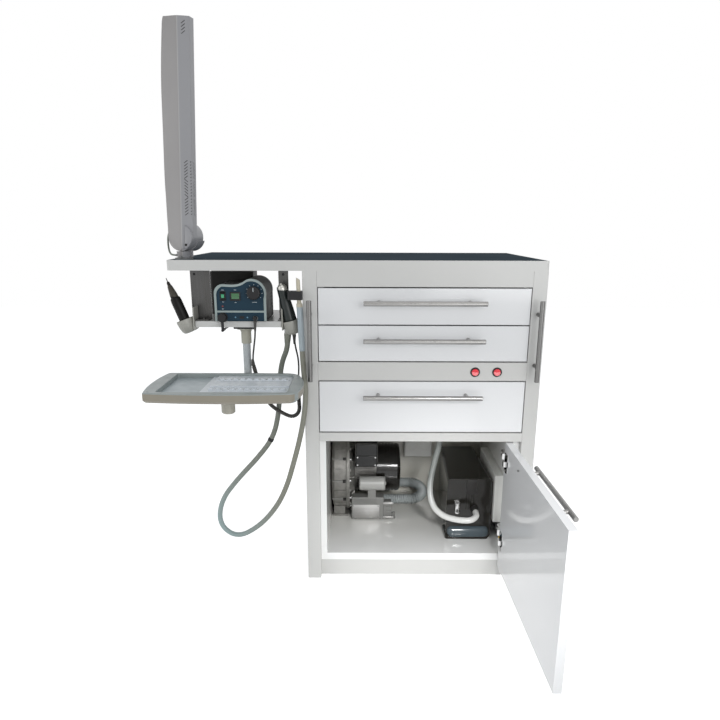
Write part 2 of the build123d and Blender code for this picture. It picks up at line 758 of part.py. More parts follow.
def fittings(front):
    """Display, lamp and sockets of the control unit."""
    face = front + UNIT_PANEL_SINK
    display = block(
        DISPLAY_X - DISPLAY_W / 2 + 0.2,
        DISPLAY_X + DISPLAY_W / 2 - 0.2,
        face - 1.2,
        face + 3,
        DISPLAY_Z - DISPLAY_H / 2 + 0.2,
        DISPLAY_Z + DISPLAY_H / 2 - 0.2,
    )
    display -= block(DISPLAY_X - 9, DISPLAY_X + 9, face - 2, face - 0.4, DISPLAY_Z - 7, DISPLAY_Z + 7)
    frame = block(
        UNIT_ROCKER_X - UNIT_ROCKER_W / 2 - 2,
        UNIT_ROCKER_X + UNIT_ROCKER_W / 2 + 2,
        face - 1.2,
        face,
        UNIT_ROCKER_Z - UNIT_ROCKER_H / 2 - 2,
        UNIT_ROCKER_Z + UNIT_ROCKER_H / 2 + 2,
    )
    frame -= block(
        UNIT_ROCKER_X - UNIT_ROCKER_W / 2 - 0.4,
        UNIT_ROCKER_X + UNIT_ROCKER_W / 2 + 0.4,
        face - 2,
        face + 1,
        UNIT_ROCKER_Z - UNIT_ROCKER_H / 2 - 0.4,
        UNIT_ROCKER_Z + UNIT_ROCKER_H / 2 + 0.4,
    )
    lamp = rod((INDICATOR_X, face, INDICATOR_Z), (INDICATOR_X, face - 2, INDICATOR_Z), INDICATOR_D)
    half_w, half_h = SLOT_W / 2, SLOT_H / 2
    slot = block(SLOT_X - half_w, SLOT_X + half_w, face - 1.5, face, SOCKET_Z - half_h, SOCKET_Z + half_h)
    half_w, half_h = half_w - SLOT_RIM, half_h - SLOT_RIM
    low_z, high_z = SOCKET_Z - half_h, SOCKET_Z + half_h
    slot -= block(SLOT_X - half_w, SLOT_X + half_w, face - 2, face - 0.4, low_z, high_z)
    plug = rod((PLUG_X, face, SOCKET_Z), (PLUG_X, PLUG_FACE, SOCKET_Z), 21.0)
    plug = chamfer(plug.edges().group_by(Axis.Y)[0], 1.5)
    jack = rod((JACK_X, face, SOCKET_Z), (JACK_X, JACK_FACE, SOCKET_Z), 9.0)
    save("unit_fittings", display, frame, lamp, slot)
    boss = rod((PLUG_X, PLUG_Y, SOCKET_Z), (PLUG_X, PLUG_Y, PLUG_EXIT_Z), 7.0)
    foot = rod((PLUG_X, PLUG_Y - 3.5, PLUG_EXIT_Z), (PLUG_X, PLUG_EXIT_Y, PLUG_EXIT_Z), 7.0)
    exit_boss = rod((JACK_X, JACK_Y, SOCKET_Z), (JACK_X, JACK_Y, JACK_EXIT_Z), 6.5)
    save("unit_plugs", plug + boss + foot, jack + exit_boss)


PLUG_X = -501.0
PLUG_Y = behind(4.0)
PLUG_FACE = behind(-2.0)
PLUG_EXIT_Y = behind(26.0)
PLUG_EXIT_Z = 689.0
JACK_X = -420.0
JACK_Y = behind(5.0)
JACK_FACE = behind(0.0)
JACK_EXIT_Z = 711.0


def tilted(side):
    """Frame of one holder: origin at the middle of its rim, Z up along the instrument."""
    x, z = HOLDER_RIM[side]
    return Pos(x, behind(HOLDER_Y), z) * Rot(Y=HOLDER_TILT[side])


def holder(side):
    """Cup of one instrument holder with the plate that is screwed to the shelf's end."""
    with BuildPart() as cup:
        with BuildSketch(Plane.XZ):
            with BuildLine():
                Polyline(
                    (0, -CUP_H),
                    (CUP_BASE_D / 2, -CUP_H),
                    (CUP_RIM_D / 2, -6),
                    (CUP_RIM_D / 2, 0),
                    (0, 0),
                    close=True,
                )
            make_face()
        revolve(axis=Axis.Z)
    solid = tilted(side) * cup.part
    edge = SHELF_X0 if side == 0 else SHELF_X1
    out = -1 if side == 0 else 1
    x0, x1 = sorted((edge, edge + out * HOLDER_PLATE_T))
    y = behind(HOLDER_Y)
    plate = block(x0, x1, y - 15, y + 32, SHELF_TOP - SHELF_T - 8, SHELF_TOP + 34)
    plate = fillet(plate.edges().filter_by(Axis.X), 5)
    rim_x = HOLDER_RIM[side][0]
    web_x = sorted((edge, rim_x + (12 if side == 0 else -12)))
    web = block(*web_x, y - 5, y + 5, SHELF_TOP - SHELF_T - 2, SHELF_TOP - 3)
    solid = solid + plate + web
    if side == 1:
        for x, d, diameter in ((NIPPLE_X, NIPPLE_D, SUCTION_D + 3), (GLAND_X, GLAND_D, CABLE_D + 4)):
            solid += rod((x, behind(d), NIPPLE_Z), (x, behind(d), NIPPLE_Z + 24), diameter)
    with BuildPart() as bore:
        with BuildSketch(Plane.XZ):
            with BuildLine():
                Polyline(
                    (0, -CUP_H + CUP_FLOOR),
                    (CUP_BASE_D / 2 - CUP_WALL, -CUP_H + CUP_FLOOR),
                    (CUP_RIM_D / 2 - CUP_WALL, -6),
                    (CUP_RIM_D / 2 - CUP_WALL, 60),
                    (0, 60),
                    close=True,
                )
            make_face()
        revolve(axis=Axis.Z)
    return solid - tilted(side) * bore.part


NIPPLE_X = -342.5
NIPPLE_D = 34.0
NIPPLE_Z = 674.0
GLAND_X = -326.0
GLAND_D = 34.0


def turned(points):
    """Solid of revolution about Z from (radius, height) points."""
    with BuildPart() as part:
        with BuildSketch(Plane.XZ):
            with BuildLine():
                Polyline((0, points[0][1]), *points, (0, points[-1][1]), close=True)
            make_face()
        revolve(axis=Axis.Z)
    return part.part


def instruments():
    save("holder_cups", holder(0), holder(1))
    seat = -CUP_H + CUP_FLOOR + HANDPIECE_SEAT
    body = turned([(12, seat), (13, seat + 4), (13.5, 20), (13.5, 46), (12.5, 56), (10, 60)])
    for k in range(4):
        body -= Pos(0, 0, 30 + 5 * k) * (Cylinder(14, 1.6) - Cylinder(12.9, 1.6))
    nose = turned([(9.6, 60), (9.6, 66), (6.0, 88), (4.6, 91), (3.4, 99), (1.2, 101), (0.9, 110)])
    save("handpiece_left", tilted(0) * body, tilted(0) * nose)
    body = turned([(12.4, seat), (13.5, seat + 6), (16.3, 4), (16.0, 22), (13.4, 58), (12.8, 84), (11.6, 88)])
    body -= Pos(0, 0, 84) * Cylinder(9.0, 10)
    chuck = turned([(8.8, 79.1), (8.8, 90), (7.4, 92), (4.0, 92), (3.4, 95)])
    chuck -= Pos(0, 0, 93) * Cylinder(1.3, 12)
    save("handpiece_right", tilted(1) * body, tilted(1) * chuck)

    x, d, z = WAND_FOOT
    foot = Vector(x, behind(d), z)
    x, d, z = WAND_HEAD
    head = Vector(x, behind(d), z)
    length = (head - foot).length
    frame = Plane(origin=foot, x_dir=(1, 0, 0), z_dir=head - foot)
    half, neck = WAND_D / 2, WAND_NECK_D / 2
    grip = turned([(half - 1, 0), (half, 3), (half, length - 32), (neck, length - 28)])
    nozzle = [(5.0, length + 1), (4.8, length + 22), (4.0, length + 34)]
    tip = turned([(neck, length - 28), (neck, length), *nozzle])
    tip -= Pos(0, 0, length + 20) * Cylinder(3.2, 60)
    tip -= Pos(7, 0, length + 37) * Rot(Y=32) * Box(20, 20, 20)
    save("suction_wand", frame.location * grip, frame.location * tip)

    clip = block(-HALF - CLIP_LEN, -HALF, behind(-14), behind(12), CLIP_Z, CLIP_Z + CLIP_H)
    clip = fillet(clip.edges().filter_by(Axis.Z).group_by(Axis.X)[0], 5)
    clip -= frame.location * rod((0, 0, 0), (0, 0, length + 60), WAND_NECK_D + 0.6)
    save("wand_clip", clip)


def column():
    plate = Pos(COLUMN_X, behind(COLUMN_Y), SHELF_TOP - SHELF_T - 4) * Cylinder(25, 8)
    plate = chamfer(plate.edges().group_by(Axis.Z)[0], 1.5)
    ring_z = SHELF_TOP - SHELF_T - 8
    tube = Pos(COLUMN_X, behind(COLUMN_Y), 0) * turned(
        [
            (COLUMN_D / 2, COLUMN_Z0),
            (COLUMN_D / 2, ring_z - 6),
            (COLUMN_D / 2 + 1.5, ring_z - 6),
            (COLUMN_D / 2 + 1.5, ring_z),
        ]
    )
    bore = ARM_TUBE_D / 2 + COLUMN_BORE_PLAY
    tube -= Pos(COLUMN_X, behind(COLUMN_Y), COLUMN_Z0 + 14) * Cylinder(bore, 30)
    save("column_socket", plate + tube)

    shaft_top = COLUMN_Z0 + 29 - 0.3
    column_at = (COLUMN_X, behind(COLUMN_Y))
    hub_at = (HUB_X, behind(HUB_Y))
    shaft = rod((*column_at, ARM_Z - ARM_H / 2), (*column_at, shaft_top), ARM_TUBE_D)
    run = Vector(*hub_at) - Vector(*column_at)
    along = math.degrees(math.atan2(run.Y, run.X))
    middle = ((column_at[0] + hub_at[0]) / 2, (column_at[1] + hub_at[1]) / 2)
    bar = Pos(*middle, ARM_Z) * Rot(Z=along) * Box(run.length, ARM_TUBE_D + 2, ARM_H)
    bar = fillet(bar.edges().filter_by(lambda e: abs(e.length - run.length) < 0.01), 4)
    ends = Pos(*column_at, ARM_Z) * Cylinder(ARM_TUBE_D / 2 + 3, ARM_H)
    hub = Pos(*hub_at, 0) * turned(
        [
            (HUB_D / 2 - 3, HUB_Z0),
            (HUB_D / 2, HUB_Z0 + 3),
            (HUB_D / 2, TRAY_Z0 - HUB_PLAY * 3),
            (HUB_PIN_D / 2, TRAY_Z0 - HUB_PLAY * 3),
            (HUB_PIN_D / 2, TRAY_Z0 + 7),
        ]
    )
    save("tray_arm", shaft + bar + ends + hub)


def tray_outline(shrink=0.0):
    """Plan of the tray: bowed front and ends, straight back."""
    x0, x1 = TRAY_X0 + shrink, TRAY_X1 - shrink
    y0, y1 = behind(TRAY_FRONT) + shrink, behind(TRAY_BACK) - shrink
    mid_x, mid_y = (x0 + x1) / 2, (y0 + y1) / 2
    with BuildSketch() as plan:
        with BuildLine():
            ThreePointArc((x0, y0), (mid_x, y0 - TRAY_BULGE), (x1, y0))
            ThreePointArc((x1, y0), (x1 + 0.8 * TRAY_BULGE, mid_y), (x1 - TRAY_CUT, y1))
            Line((x1 - TRAY_CUT, y1), (x0 + 2, y1))
            ThreePointArc((x0 + 2, y1), (x0 - 0.8 * TRAY_BULGE, mid_y), (x0, y0))
        make_face()
    return plan.sketch


def tray():
    plan = tray_outline()
    pan = extrude(Pos(0, 0, TRAY_Z0) * plan, TRAY_TOP - TRAY_Z0)
    corners = pan.edges().filter_by(Axis.Z)
    pan = fillet(corners.sort_by(Axis.X)[-1:], TRAY_CORNER_R)
    back = pan.edges().filter_by(Axis.Z).filter_by(lambda e: e.center().Y > behind(0)).sort_by(Axis.X)
    pan = fillet(back[-1:], TRAY_BACK_R)
    back = pan.edges().filter_by(Axis.Z).filter_by(lambda e: e.center().Y > behind(0)).sort_by(Axis.X)
    pan = fillet(back[:1], 8)
    pan = chamfer(pan.edges().group_by(Axis.Z)[0], 6)
    inner = (
        TRAY_X0 + TRAY_RIM + 14,
        TRAY_X1 - TRAY_RIM - TRAY_CUT / 2,
        behind(TRAY_FRONT) + TRAY_RIM,
        behind(TRAY_BACK) - TRAY_RIM,
    )
    pan -= tray_well(*inner, TRAY_Z0 + TRAY_WALL + 7, TRAY_TOP + 1, 6.0)
    hole = HUB_PIN_D / 2 + HUB_PLAY
    pan -= Pos(HUB_X, behind(HUB_Y), TRAY_Z0) * Cylinder(hole, 16)
    pan = fillet(pan.edges().group_by(Axis.Z)[-1], 1.5)
    pan -= Pos(TRAY_X0 + 9, behind(TRAY_FRONT) + 11, TRAY_TOP) * Cylinder(2.6, 3)
    save("tray_pan", pan)
    save("tray_insert", tray_insert(inner))


def tray_well(x0, x1, y0, y1, z0, z1, corner):
    """Block with rounded upright edges, the right one at the back as round as the rim asks."""
    body = block(x0, x1, y0, y1, z0, z1)
    upright = body.edges().filter_by(Axis.Z).sort_by(lambda e: e.center().X + e.center().Y)
    body = fillet(upright[:-1], corner)
    upright = body.edges().filter_by(Axis.Z).sort_by(lambda e: e.center().X + e.center().Y)
    return fillet(upright[-1:], TRAY_BACK_R - TRAY_RIM + corner - 6.0)


def tray_insert(inner):
    """Moulded insert: a flat well on the left and a stepped rack with notched walls on the right."""
    x0, x1 = inner[0] + INSERT_PLAY, inner[1] - INSERT_PLAY
    y0, y1 = inner[2] + INSERT_PLAY, inner[3] - INSERT_PLAY
    floor = TRAY_Z0 + TRAY_WALL + 7
    split = x0 + 0.31 * (x1 - x0)
    corner = 6.0 - INSERT_PLAY
    sheet = tray_well(x0, x1, y0, y1, floor, floor + 3, corner)
    step_1 = block(split, x1, y0, y1, floor, floor + 6)
    depth = y1 - y0
    step_2 = block(split + 14, x1 - 2, y0 + 0.42 * depth, y1, floor, floor + 9)
    inside = tray_well(x0, x1, y0, y1, floor, floor + 12, corner)
    body = sheet + (step_1 & inside) + (step_2 & inside)
    for row, (count, share, base) in enumerate(zip(RACK_SLOTS, (0.74, 0.26), (9, 6))):
        y = y0 + share * depth
        wall = block(split + 18, x1 - 8, y - 4, y + 4, floor, floor + base + 5)
        span = (count - 1) * RACK_PITCH
        middle = (split + 18 + x1 - 8) / 2
        for k in range(count):
            x = middle - span / 2 + k * RACK_PITCH
            wall -= rod((x, y - 6, floor + base + 5), (x, y + 6, floor + base + 5), 8.0)
        body += wall
    return body


def lamp():
    radius = LAMP_PLATE_D / 2
    base = turned([(radius, 0), (radius, LAMP_PLATE_T), (LAMP_NECK_D / 2 + 1, LAMP_PLATE_T + 1)])
    pin_d = 12.0
    base += Cylinder(pin_d / 2, 15, align=(Align.CENTER, Align.CENTER, Align.MIN))
    for k in range(3):
        turn = math.radians(270 + 120 * k)
        r = LAMP_PLATE_D / 2 - 4
        base += Pos(r * math.cos(turn), r * math.sin(turn), LAMP_PLATE_T + 0.4) * Cylinder(2.6, 1.4)
    at = Pos(LAMP_X, behind(LAMP_Y), WORKTOP_Z)
    save("lamp_base", at * base)
    save("lamp_yoke", at * Rot(Z=LAMP_TURN) * lamp_yoke(pin_d))
    save("lamp_housing", at * Rot(Z=LAMP_TURN) * lamp_housing())
    save("lamp_diffuser", at * Rot(Z=LAMP_TURN) * lamp_diffuser())


AXIS_UP = LAMP_AXIS_Z - WORKTOP_Z
DRUM_Y0 = LAMP_FRONT + LAMP_T + 1.5


def lamp_yoke(pin_d):
    """Neck and the half shell that carries the drum, on the lamp's own axes."""
    shell_r = DRUM_D / 2 + 2.5
    y0, y1 = DRUM_Y0, DRUM_Y0 + DRUM_LEN
    neck_z0 = LAMP_PLATE_T + 1.3
    neck_z1 = AXIS_UP - LAMP_W / 2 - 1.0
    neck = turned([(LAMP_NECK_D / 2, neck_z0), (LAMP_NECK_D / 2 + 2.5, neck_z1)])
    shell = rod((0, y0, AXIS_UP), (0, y1 + 4, AXIS_UP), 2 * shell_r)
    shell = shell & block(-60, 60, -60, 80, -5, AXIS_UP - 10)
    saddle = block(-LAMP_NECK_D / 2, LAMP_NECK_D / 2, y0, LAMP_NECK_D / 2 + 6, neck_z0, neck_z1 + 4)
    ear = rod((0, y1 + 0.3, AXIS_UP), (0, y1 + 4, AXIS_UP), 26)
    ear += block(-13, 13, y1 + 0.3, y1 + 4, AXIS_UP - 30, AXIS_UP)
    body = neck + saddle + shell + ear
    body -= rod((0, y0 - 30, AXIS_UP), (0, y1 + 0.3, AXIS_UP), DRUM_D + 2 * DRUM_PLAY)
    body += rod((0, y1 - 24, AXIS_UP), (0, y1 + 4, AXIS_UP), DRUM_PIN_D)
    body += rod((-NECK_GLAND_REACH, 0, NECK_GLAND_UP), (0, 0, NECK_GLAND_UP), NECK_GLAND_D)
    body -= Pos(0, 0, LAMP_PLATE_T) * Cylinder(
        pin_d / 2 + DRUM_PLAY, 13, align=(Align.CENTER, Align.CENTER, Align.MIN)
    )
    return body


def lamp_section():
    """Cross-section of the lamp housing: a shallow ridge on the face."""
    left, right = LAMP_LEFT[3][1] - 4, LAMP_W / 2
    face, back = LAMP_FRONT, LAMP_FRONT + LAMP_T
    with BuildSketch() as section:
        with BuildLine():
            Polyline(
                (left, face + LAMP_RIDGE + 2),
                (LAMP_RIDGE_X, face),
                (right, face + LAMP_RIDGE),
                (right, back),
                (left, back),
                close=True,
            )
        make_face()
    return section.sketch


def lamp_front():
    """Front outline of the lamp housing: round lower end, bowed left edge, straight right edge."""
    half = LAMP_W / 2
    with BuildSketch(Plane.XZ) as outline:
        with BuildLine():
            ThreePointArc((-half, 0), (0, -half), (half, 0))
            Line((half, 0), (half, LAMP_H))
            Line((half, LAMP_H), (LAMP_LEFT[-1][1] + 4, LAMP_H))
            Spline(
                (LAMP_LEFT[-1][1] + 4, LAMP_H),
                *[(x, up) for up, x in reversed(LAMP_LEFT)],
                tangents=[(-0.5, -1), (0, -1)],
            )
        make_face()
    return outline.sketch


def leaned(shape):
    """Lean the lamp about its drum axis, as it stands in the photograph."""
    return shape.rotate(Axis((0, 0, AXIS_UP), (0, 1, 0)), LAMP_LEAN)


def lamp_housing():
    """Housing with its round lower end and the drum behind it, hollow at the back for the light."""
    face, back = LAMP_FRONT, LAMP_FRONT + LAMP_T
    half = LAMP_W / 2
    bar = extrude(Pos(0, 0, AXIS_UP - half - 1) * lamp_section(), LAMP_H + half + 2)
    keep = extrude(Pos(0, face - 2, AXIS_UP) * lamp_front(), LAMP_T + 4, dir=(0, 1, 0))
    bar = bar & keep
    bar -= soft_block(
        -half + 7, half - 7, back - 7, back + 1, AXIS_UP + half + 16, AXIS_UP + LAMP_H - 14, 4.0, Axis.Y
    )
    y1 = DRUM_Y0 + DRUM_LEN
    body = bar + rod((0, back - 2, AXIS_UP), (0, y1, AXIS_UP), DRUM_D)
    body -= rod((0, y1 - 24.5, AXIS_UP), (0, y1 + 1, AXIS_UP), DRUM_PIN_D + 2 * DRUM_PLAY)
    for group in range(3):
        lean = 35 if group == 1 else -35
        for k in range(6):
            z = AXIS_UP + 55 + 42 * group + 6.4 * k
            body -= Pos(17, face, z) * Rot(Y=lean) * Box(14, 14, 1.8)
            body -= Pos(half, face + 15, z) * Rot(X=lean) * Box(4, 10, 1.8)
    boss = rod(on_drum(DRUM_D / 2 - 2), on_drum(LEAD_BOSS_REACH + 1), LEAD_BOSS_D)
    return leaned(body) + (boss & rod((0, 0, AXIS_UP), (0, 2 * LEAD_BOSS_Y, AXIS_UP), 2 * LEAD_BOSS_REACH))


def on_drum(reach):
    """Place on the lamp's own axes, this far from the drum's axis, on the line of the cable's boss."""
    turn = math.radians(LEAD_BOSS_TURN)
    return reach * math.cos(turn), LEAD_BOSS_Y, AXIS_UP + reach * math.sin(turn)


def lamp_diffuser():
    """Light panel in the hollow at the back of the housing."""
    half = LAMP_W / 2
    back = LAMP_FRONT + LAMP_T
    z0 = AXIS_UP + half + 16.4
    z1 = AXIS_UP + LAMP_H - 14.4
    return leaned(soft_block(-half + 7.4, half - 7.4, back - 7, back - 1, z0, z1, 3.6, Axis.Y))


def blower():
    save("blower_casing", Pos(BLOWER_X, behind(BLOWER_Y), BLOWER_Z) * blower_casing())
    motor_x = BLOWER_X + BLOWER_W + DISC_T + COLLAR_T
    save("blower_motor", *motor(motor_x))
    save("blower_fan_cover", Pos(motor_x + MOTOR_L, behind(BLOWER_Y), BLOWER_Z) * fan_cover())


def along_x(points):
    """Solid of revolution about X from (x, radius) points."""
    with BuildPart() as part:
        with BuildSketch(Plane.XZ):
            with BuildLine():
                Polyline((points[0][0], 0), *points, (points[-1][0], 0), close=True)
            make_face()
        revolve(axis=Axis.X)
    return part.part


def blower_casing():
    """Side-channel casing: ribbed drum with a rolled channel, flange disc, collar, feet and port."""
    ring = along_x(
        [(0, BLOWER_R - 22), (3, BLOWER_R - 8), (10, BLOWER_R), (BLOWER_W, BLOWER_R)]
    )
    dish = along_x([(-1, 62), (6, 56)]) - along_x([(-2, 19), (7, 19)])
    ring -= dish
    disc = along_x(
        [
            (BLOWER_W, DISC_R),
            (BLOWER_W + 3, DISC_R + 1),
            (BLOWER_W + DISC_T - 3, DISC_R + 1),
            (BLOWER_W + DISC_T, DISC_R),
        ]
    )
    x1 = BLOWER_W + DISC_T
    collar = along_x([(x1, COLLAR_R), (x1 + COLLAR_T - 6, COLLAR_R - 10), (x1 + COLLAR_T, MOTOR_R + 2)])
    body = ring + disc + collar
    for k in range(BLOWER_RIBS):
        turn = 360 / BLOWER_RIBS * (k + 0.5)
        rib = block(8, BLOWER_W, -2.2, 2.2, BLOWER_R - 4, BLOWER_R + BLOWER_RIB)
        body += Rot(X=turn) * rib
        bolt = rod((x1, 0, DISC_R - 7), (x1 + 4, 0, DISC_R - 7), 9)
        body += Rot(X=turn) * bolt
        fin = block(x1, x1 + COLLAR_T - 2, -1.5, 1.5, MOTOR_R, COLLAR_R + 4)
        body += Rot(X=turn + 180 / BLOWER_RIBS) * fin
    down = BLOWER_Z - FLOOR_Z
    for y in (-58, 58):
        leg = block(6, BLOWER_W - 4, y - 14, y + 14, -down, -BLOWER_R * 0.7)
        sole = block(0, BLOWER_W + 6, y - 20, y + 20, -down, -down + 6)
        body += leg
        body += sole
    port_z = BLOWER_PORT_Z - BLOWER_Z
    flange = rod((x1, 0, port_z), (x1 + 6, 0, port_z), BLOWER_PORT_D + 16)
    spigot = rod((x1, 0, port_z), (x1 + BLOWER_PORT_L, 0, port_z), BLOWER_PORT_D)
    body += flange
    body += spigot
    body -= rod((x1 + 4, 0, port_z), (x1 + BLOWER_PORT_L + 1, 0, port_z), BLOWER_PORT_D - 5)
    return body


def motor(x0):
    """Finned motor body and its terminal box."""
    y, z = behind(BLOWER_Y), BLOWER_Z
    body = rod((x0, y, z), (x0 + MOTOR_L, y, z), 2 * MOTOR_ROOT_R)
    for k in range(MOTOR_FINS):
        turn = 360 / MOTOR_FINS * k
        fin = block(x0 + 4, x0 + MOTOR_L - 4, -1.2, 1.2, MOTOR_ROOT_R - 2, MOTOR_R)
        body += Pos(0, y, z) * Rot(X=turn) * fin
    body += rod((x0, y, z), (x0 + 5, y, z), 2 * MOTOR_R)
    body += rod((x0 + MOTOR_L - 5, y, z), (x0 + MOTOR_L, y, z), 2 * MOTOR_R)
    box = soft_block(x0 + 2, x0 + MOTOR_L, behind(228), behind(300), 256, 318, 5.0, Axis.Y)
    lid = soft_block(x0 + 1, x0 + MOTOR_L + 1, behind(224), behind(228), 255, 319, 6.0, Axis.Y)
    clear = rod((x0 - 1, y, z), (x0 + MOTOR_L + 2, y, z), 2 * MOTOR_R + 0.6)
    gland = rod((x0 + 30, behind(240), 256), (x0 + 30, behind(240), 246), 12)
    return body, (box + lid + gland) - clear


def fan_cover():
    """Fan cover with a rolled edge, ring slots and a vented end."""
    cover = along_x([(0, FAN_R), (FAN_L - 10, FAN_R), (FAN_L - 3, FAN_R - 3), (FAN_L, FAN_R - 10)])
    for x in (14, 24, 34, 44, 54):
        groove = along_x([(x, FAN_R + 1), (x + 4, FAN_R + 1)])
        cover -= groove - along_x([(x - 1, FAN_R - 2), (x + 5, FAN_R - 2)])
    for k in range(5):
        r = 18 + 11 * k
        cover -= along_x([(FAN_L - 3, r + 5), (FAN_L + 1, r + 5)]) - along_x([(FAN_L - 4, r), (FAN_L + 2, r)])
    return cover


def pump():
    """Cast pump box with cooling ribs, bare plate seat, side connector, feet and the capacitor's saddle."""
    x0, x1 = PUMP_X, PUMP_X + PUMP_W
    y0, y1 = behind(PUMP_Y), behind(PUMP_Y + PUMP_D)
    top = FLOOR_Z + PUMP_H
    body = soft_block(x0, x1, y0, y1, FLOOR_Z + 3, top, 4.0)
    body = fillet(body.edges().group_by(Axis.Z)[-1], 3)
    body -= block(x0 + 5, x1 - 22, y0 - 1, y0 + 1, FLOOR_Z + 12, top - 22)
    for k in range(5):
        z = top - 17 + 3 * k
        body -= block(x0 + 6, x1 - 24, y0 - 1, y0 + 1.2, z, z + 1.2)
    port = soft_block(x1 - 1, x1 + 22, y0 + 5, y1 - 4, FLOOR_Z + 8, top - 16, 4.0, Axis.X)
    for k in range(3):
        z = FLOOR_Z + 16 + 13 * k
        port -= block(x1 + 5, x1 + 23, y0 + 4, y0 + 8, z, z + 6)
    for x in (x0 + 12, x1 - 12):
        for y in (y0 + 10, y1 - 10):
            body += Pos(x, y, FLOOR_Z + 1.5) * Cylinder(6, 3)
    saddle = block(CAP_X + 26, CAP_X + 50, behind(CAP_Y) - 7, behind(CAP_Y) + 18, top - 1, CAP_Z - 6)
    cap_y = behind(CAP_Y)
    saddle -= rod((CAP_X - 5, cap_y, CAP_Z), (CAP_X + CAP_L + 5, cap_y, CAP_Z), 2 * CAP_R + 0.2)
    capacitor = rod((CAP_X, cap_y, CAP_Z), (CAP_X + CAP_L, cap_y, CAP_Z), 2 * CAP_R)
    capacitor = fillet(capacitor.edges().filter_by(GeomType.CIRCLE), 3)
    peg = turned([(6, FLOOR_Z), (6, FLOOR_Z + 4), (4.5, FLOOR_Z + 5), (4.5, FLOOR_Z + 20)])
    peg = Pos(x1 + 31, y0 + 14, 0) * peg
    arm = block(x1 + 20, x1 + 33, y0 + 11, y0 + 17, FLOOR_Z + 12, FLOOR_Z + 18)
    save("pump_box", body + port + saddle + peg + arm)
    save("run_capacitor", capacitor)


def separator():
    """Glossy separator tank with a flared foot, louvred front, chrome stub and hose port."""
    x0, x1 = TANK_X, TANK_X + TANK_W
    y0, y1 = behind(TANK_FRONT), behind(TANK_FRONT + TANK_LEN)
    top = FLOOR_Z + TANK_H
    rear_top = top - 6
    with BuildPart() as shell:
        with BuildSketch(Plane.XZ.offset(-y0)):
            with Locations(((x0 + x1) / 2, (FLOOR_Z + top) / 2)):
                RectangleRounded(TANK_W, TANK_H, 12)
        with BuildSketch(Plane.XZ.offset(-y1)):
            with Locations(((x0 + 14 + x1 - 6) / 2, (FLOOR_Z + rear_top) / 2)):
                RectangleRounded(TANK_W - 20, rear_top - FLOOR_Z, 12)
        loft(ruled=True)
    tank = shell.part
    brow = block(x0 - 5, x1 + 5, y0 - 5, y0 + 45, top - 30, top + 5)
    wedge = Pos(0, y0, top - 28) * Rot(X=32) * block(x0 - 5, x1 + 5, -60, 0, 0, 80)
    tank -= brow & wedge
    foot = soft_block(x0 - 2, x1 - 6, y0 - 8, y0 + 70, FLOOR_Z, FLOOR_Z + 18, 10.0)
    foot = chamfer(foot.edges().group_by(Axis.Z)[-1], 7)
    port = rod((TANK_PORT_X, y0 + 4, TANK_PORT_Z), (TANK_PORT_X, y0 - 10, TANK_PORT_Z), TANK_PORT_D)
    collar = rod((TANK_PORT_X, y0 + 4, TANK_PORT_Z), (TANK_PORT_X, y0 - 3, TANK_PORT_Z), TANK_PORT_D + 10)
    tank = tank + foot + collar + port
    for k in range(4):
        x = x0 + 54 + 7 * k
        tank -= block(x, x + 3, y0 - 1, y0 + 3, top - 92, top - 44)
    stub = turned([(7, 148), (7, 152), (5.2, 152), (5.2, 174), (6.4, 174), (6.4, 178)])
    stub = Pos(x0 + 30, y0 - 7, 0) * stub
    bracket = block(x0 + 24, x0 + 36, y0 - 7, y0, 156, 164)
    save("separator_tank", tank, (stub + bracket) - tank)


def service_boxes():
    y0 = behind(TRUNK_FRONT)
    trunk = soft_block(CLEAR - TRUNK_T, CLEAR, y0, y0 + TRUNK_LEN, TRUNK_Z0, TRUNK_Z0 + TRUNK_H, 1.5, Axis.Y)
    outlet = block(OUTLET_X, OUTLET_X + OUTLET_W, BACK_Y - OUTLET_T, BACK_Y, OUTLET_Z0, OUTLET_Z0 + OUTLET_H)
    outlet = fillet(outlet.edges().group_by(Axis.Y)[0], 4)
    for x in (OUTLET_X + 24, OUTLET_X + OUTLET_W - 24):
        y = BACK_Y - OUTLET_T
        z = OUTLET_Z0 + OUTLET_H / 2
        outlet -= rod((x, y - 1, z), (x, y + 12, z), 34)
        for dx in (-9.5, 9.5):
            outlet -= rod((x + dx, y - 1, z), (x + dx, y + 26, z), 5)
    save("service_boxes", trunk, outlet, exhaust_elbow())


def exhaust_elbow():
    """Elbow on the back panel that the ribbed hose's far end meets."""
    y = behind(HOSE_BACK_Y)
    z = BLOWER_PORT_Z + HOSE_RISE
    x = HOSE_END_X - ELBOW_OUT
    path = FilletPolyline((HOSE_END_X, y, z), (x, y, z), (x, BACK_Y, z), radius=ELBOW_R)
    pipe = sweep(Plane(origin=path @ 0, z_dir=path % 0) * Circle(ELBOW_D / 2), path=path)
    return pipe + rod((x, BACK_Y - 4, z), (x, BACK_Y, z), ELBOW_D + 18)


def corner_radii(points):
    """Largest arcs that the runs of a route allow."""
    radii = []
    for a, b, c in zip(points, points[1:], points[2:]):
        first, second = b - a, c - b
        half_turn = math.radians(first.get_angle(second)) / 2
        radii.append(0.45 * min(first.length, second.length) / math.tan(half_turn))
    return radii


def tube(name, route, diameter):
    """Round tube along straight runs joined by tangent arcs."""
    points = [Vector(x, behind(d), z) for x, d, z in route]
    radii = corner_radii(points)
    path = FilletPolyline(*points, radius=radii)
    section = Plane(origin=path @ 0, z_dir=path % 0) * Circle(diameter / 2)
    solid = sweep(section, path=path)
    ratio = solid.volume / (math.pi * diameter**2 / 4 * path.length)
    print(name, "radii", [round(r) for r in radii], "length", round(path.length), "ratio", round(ratio, 4))
    return solid


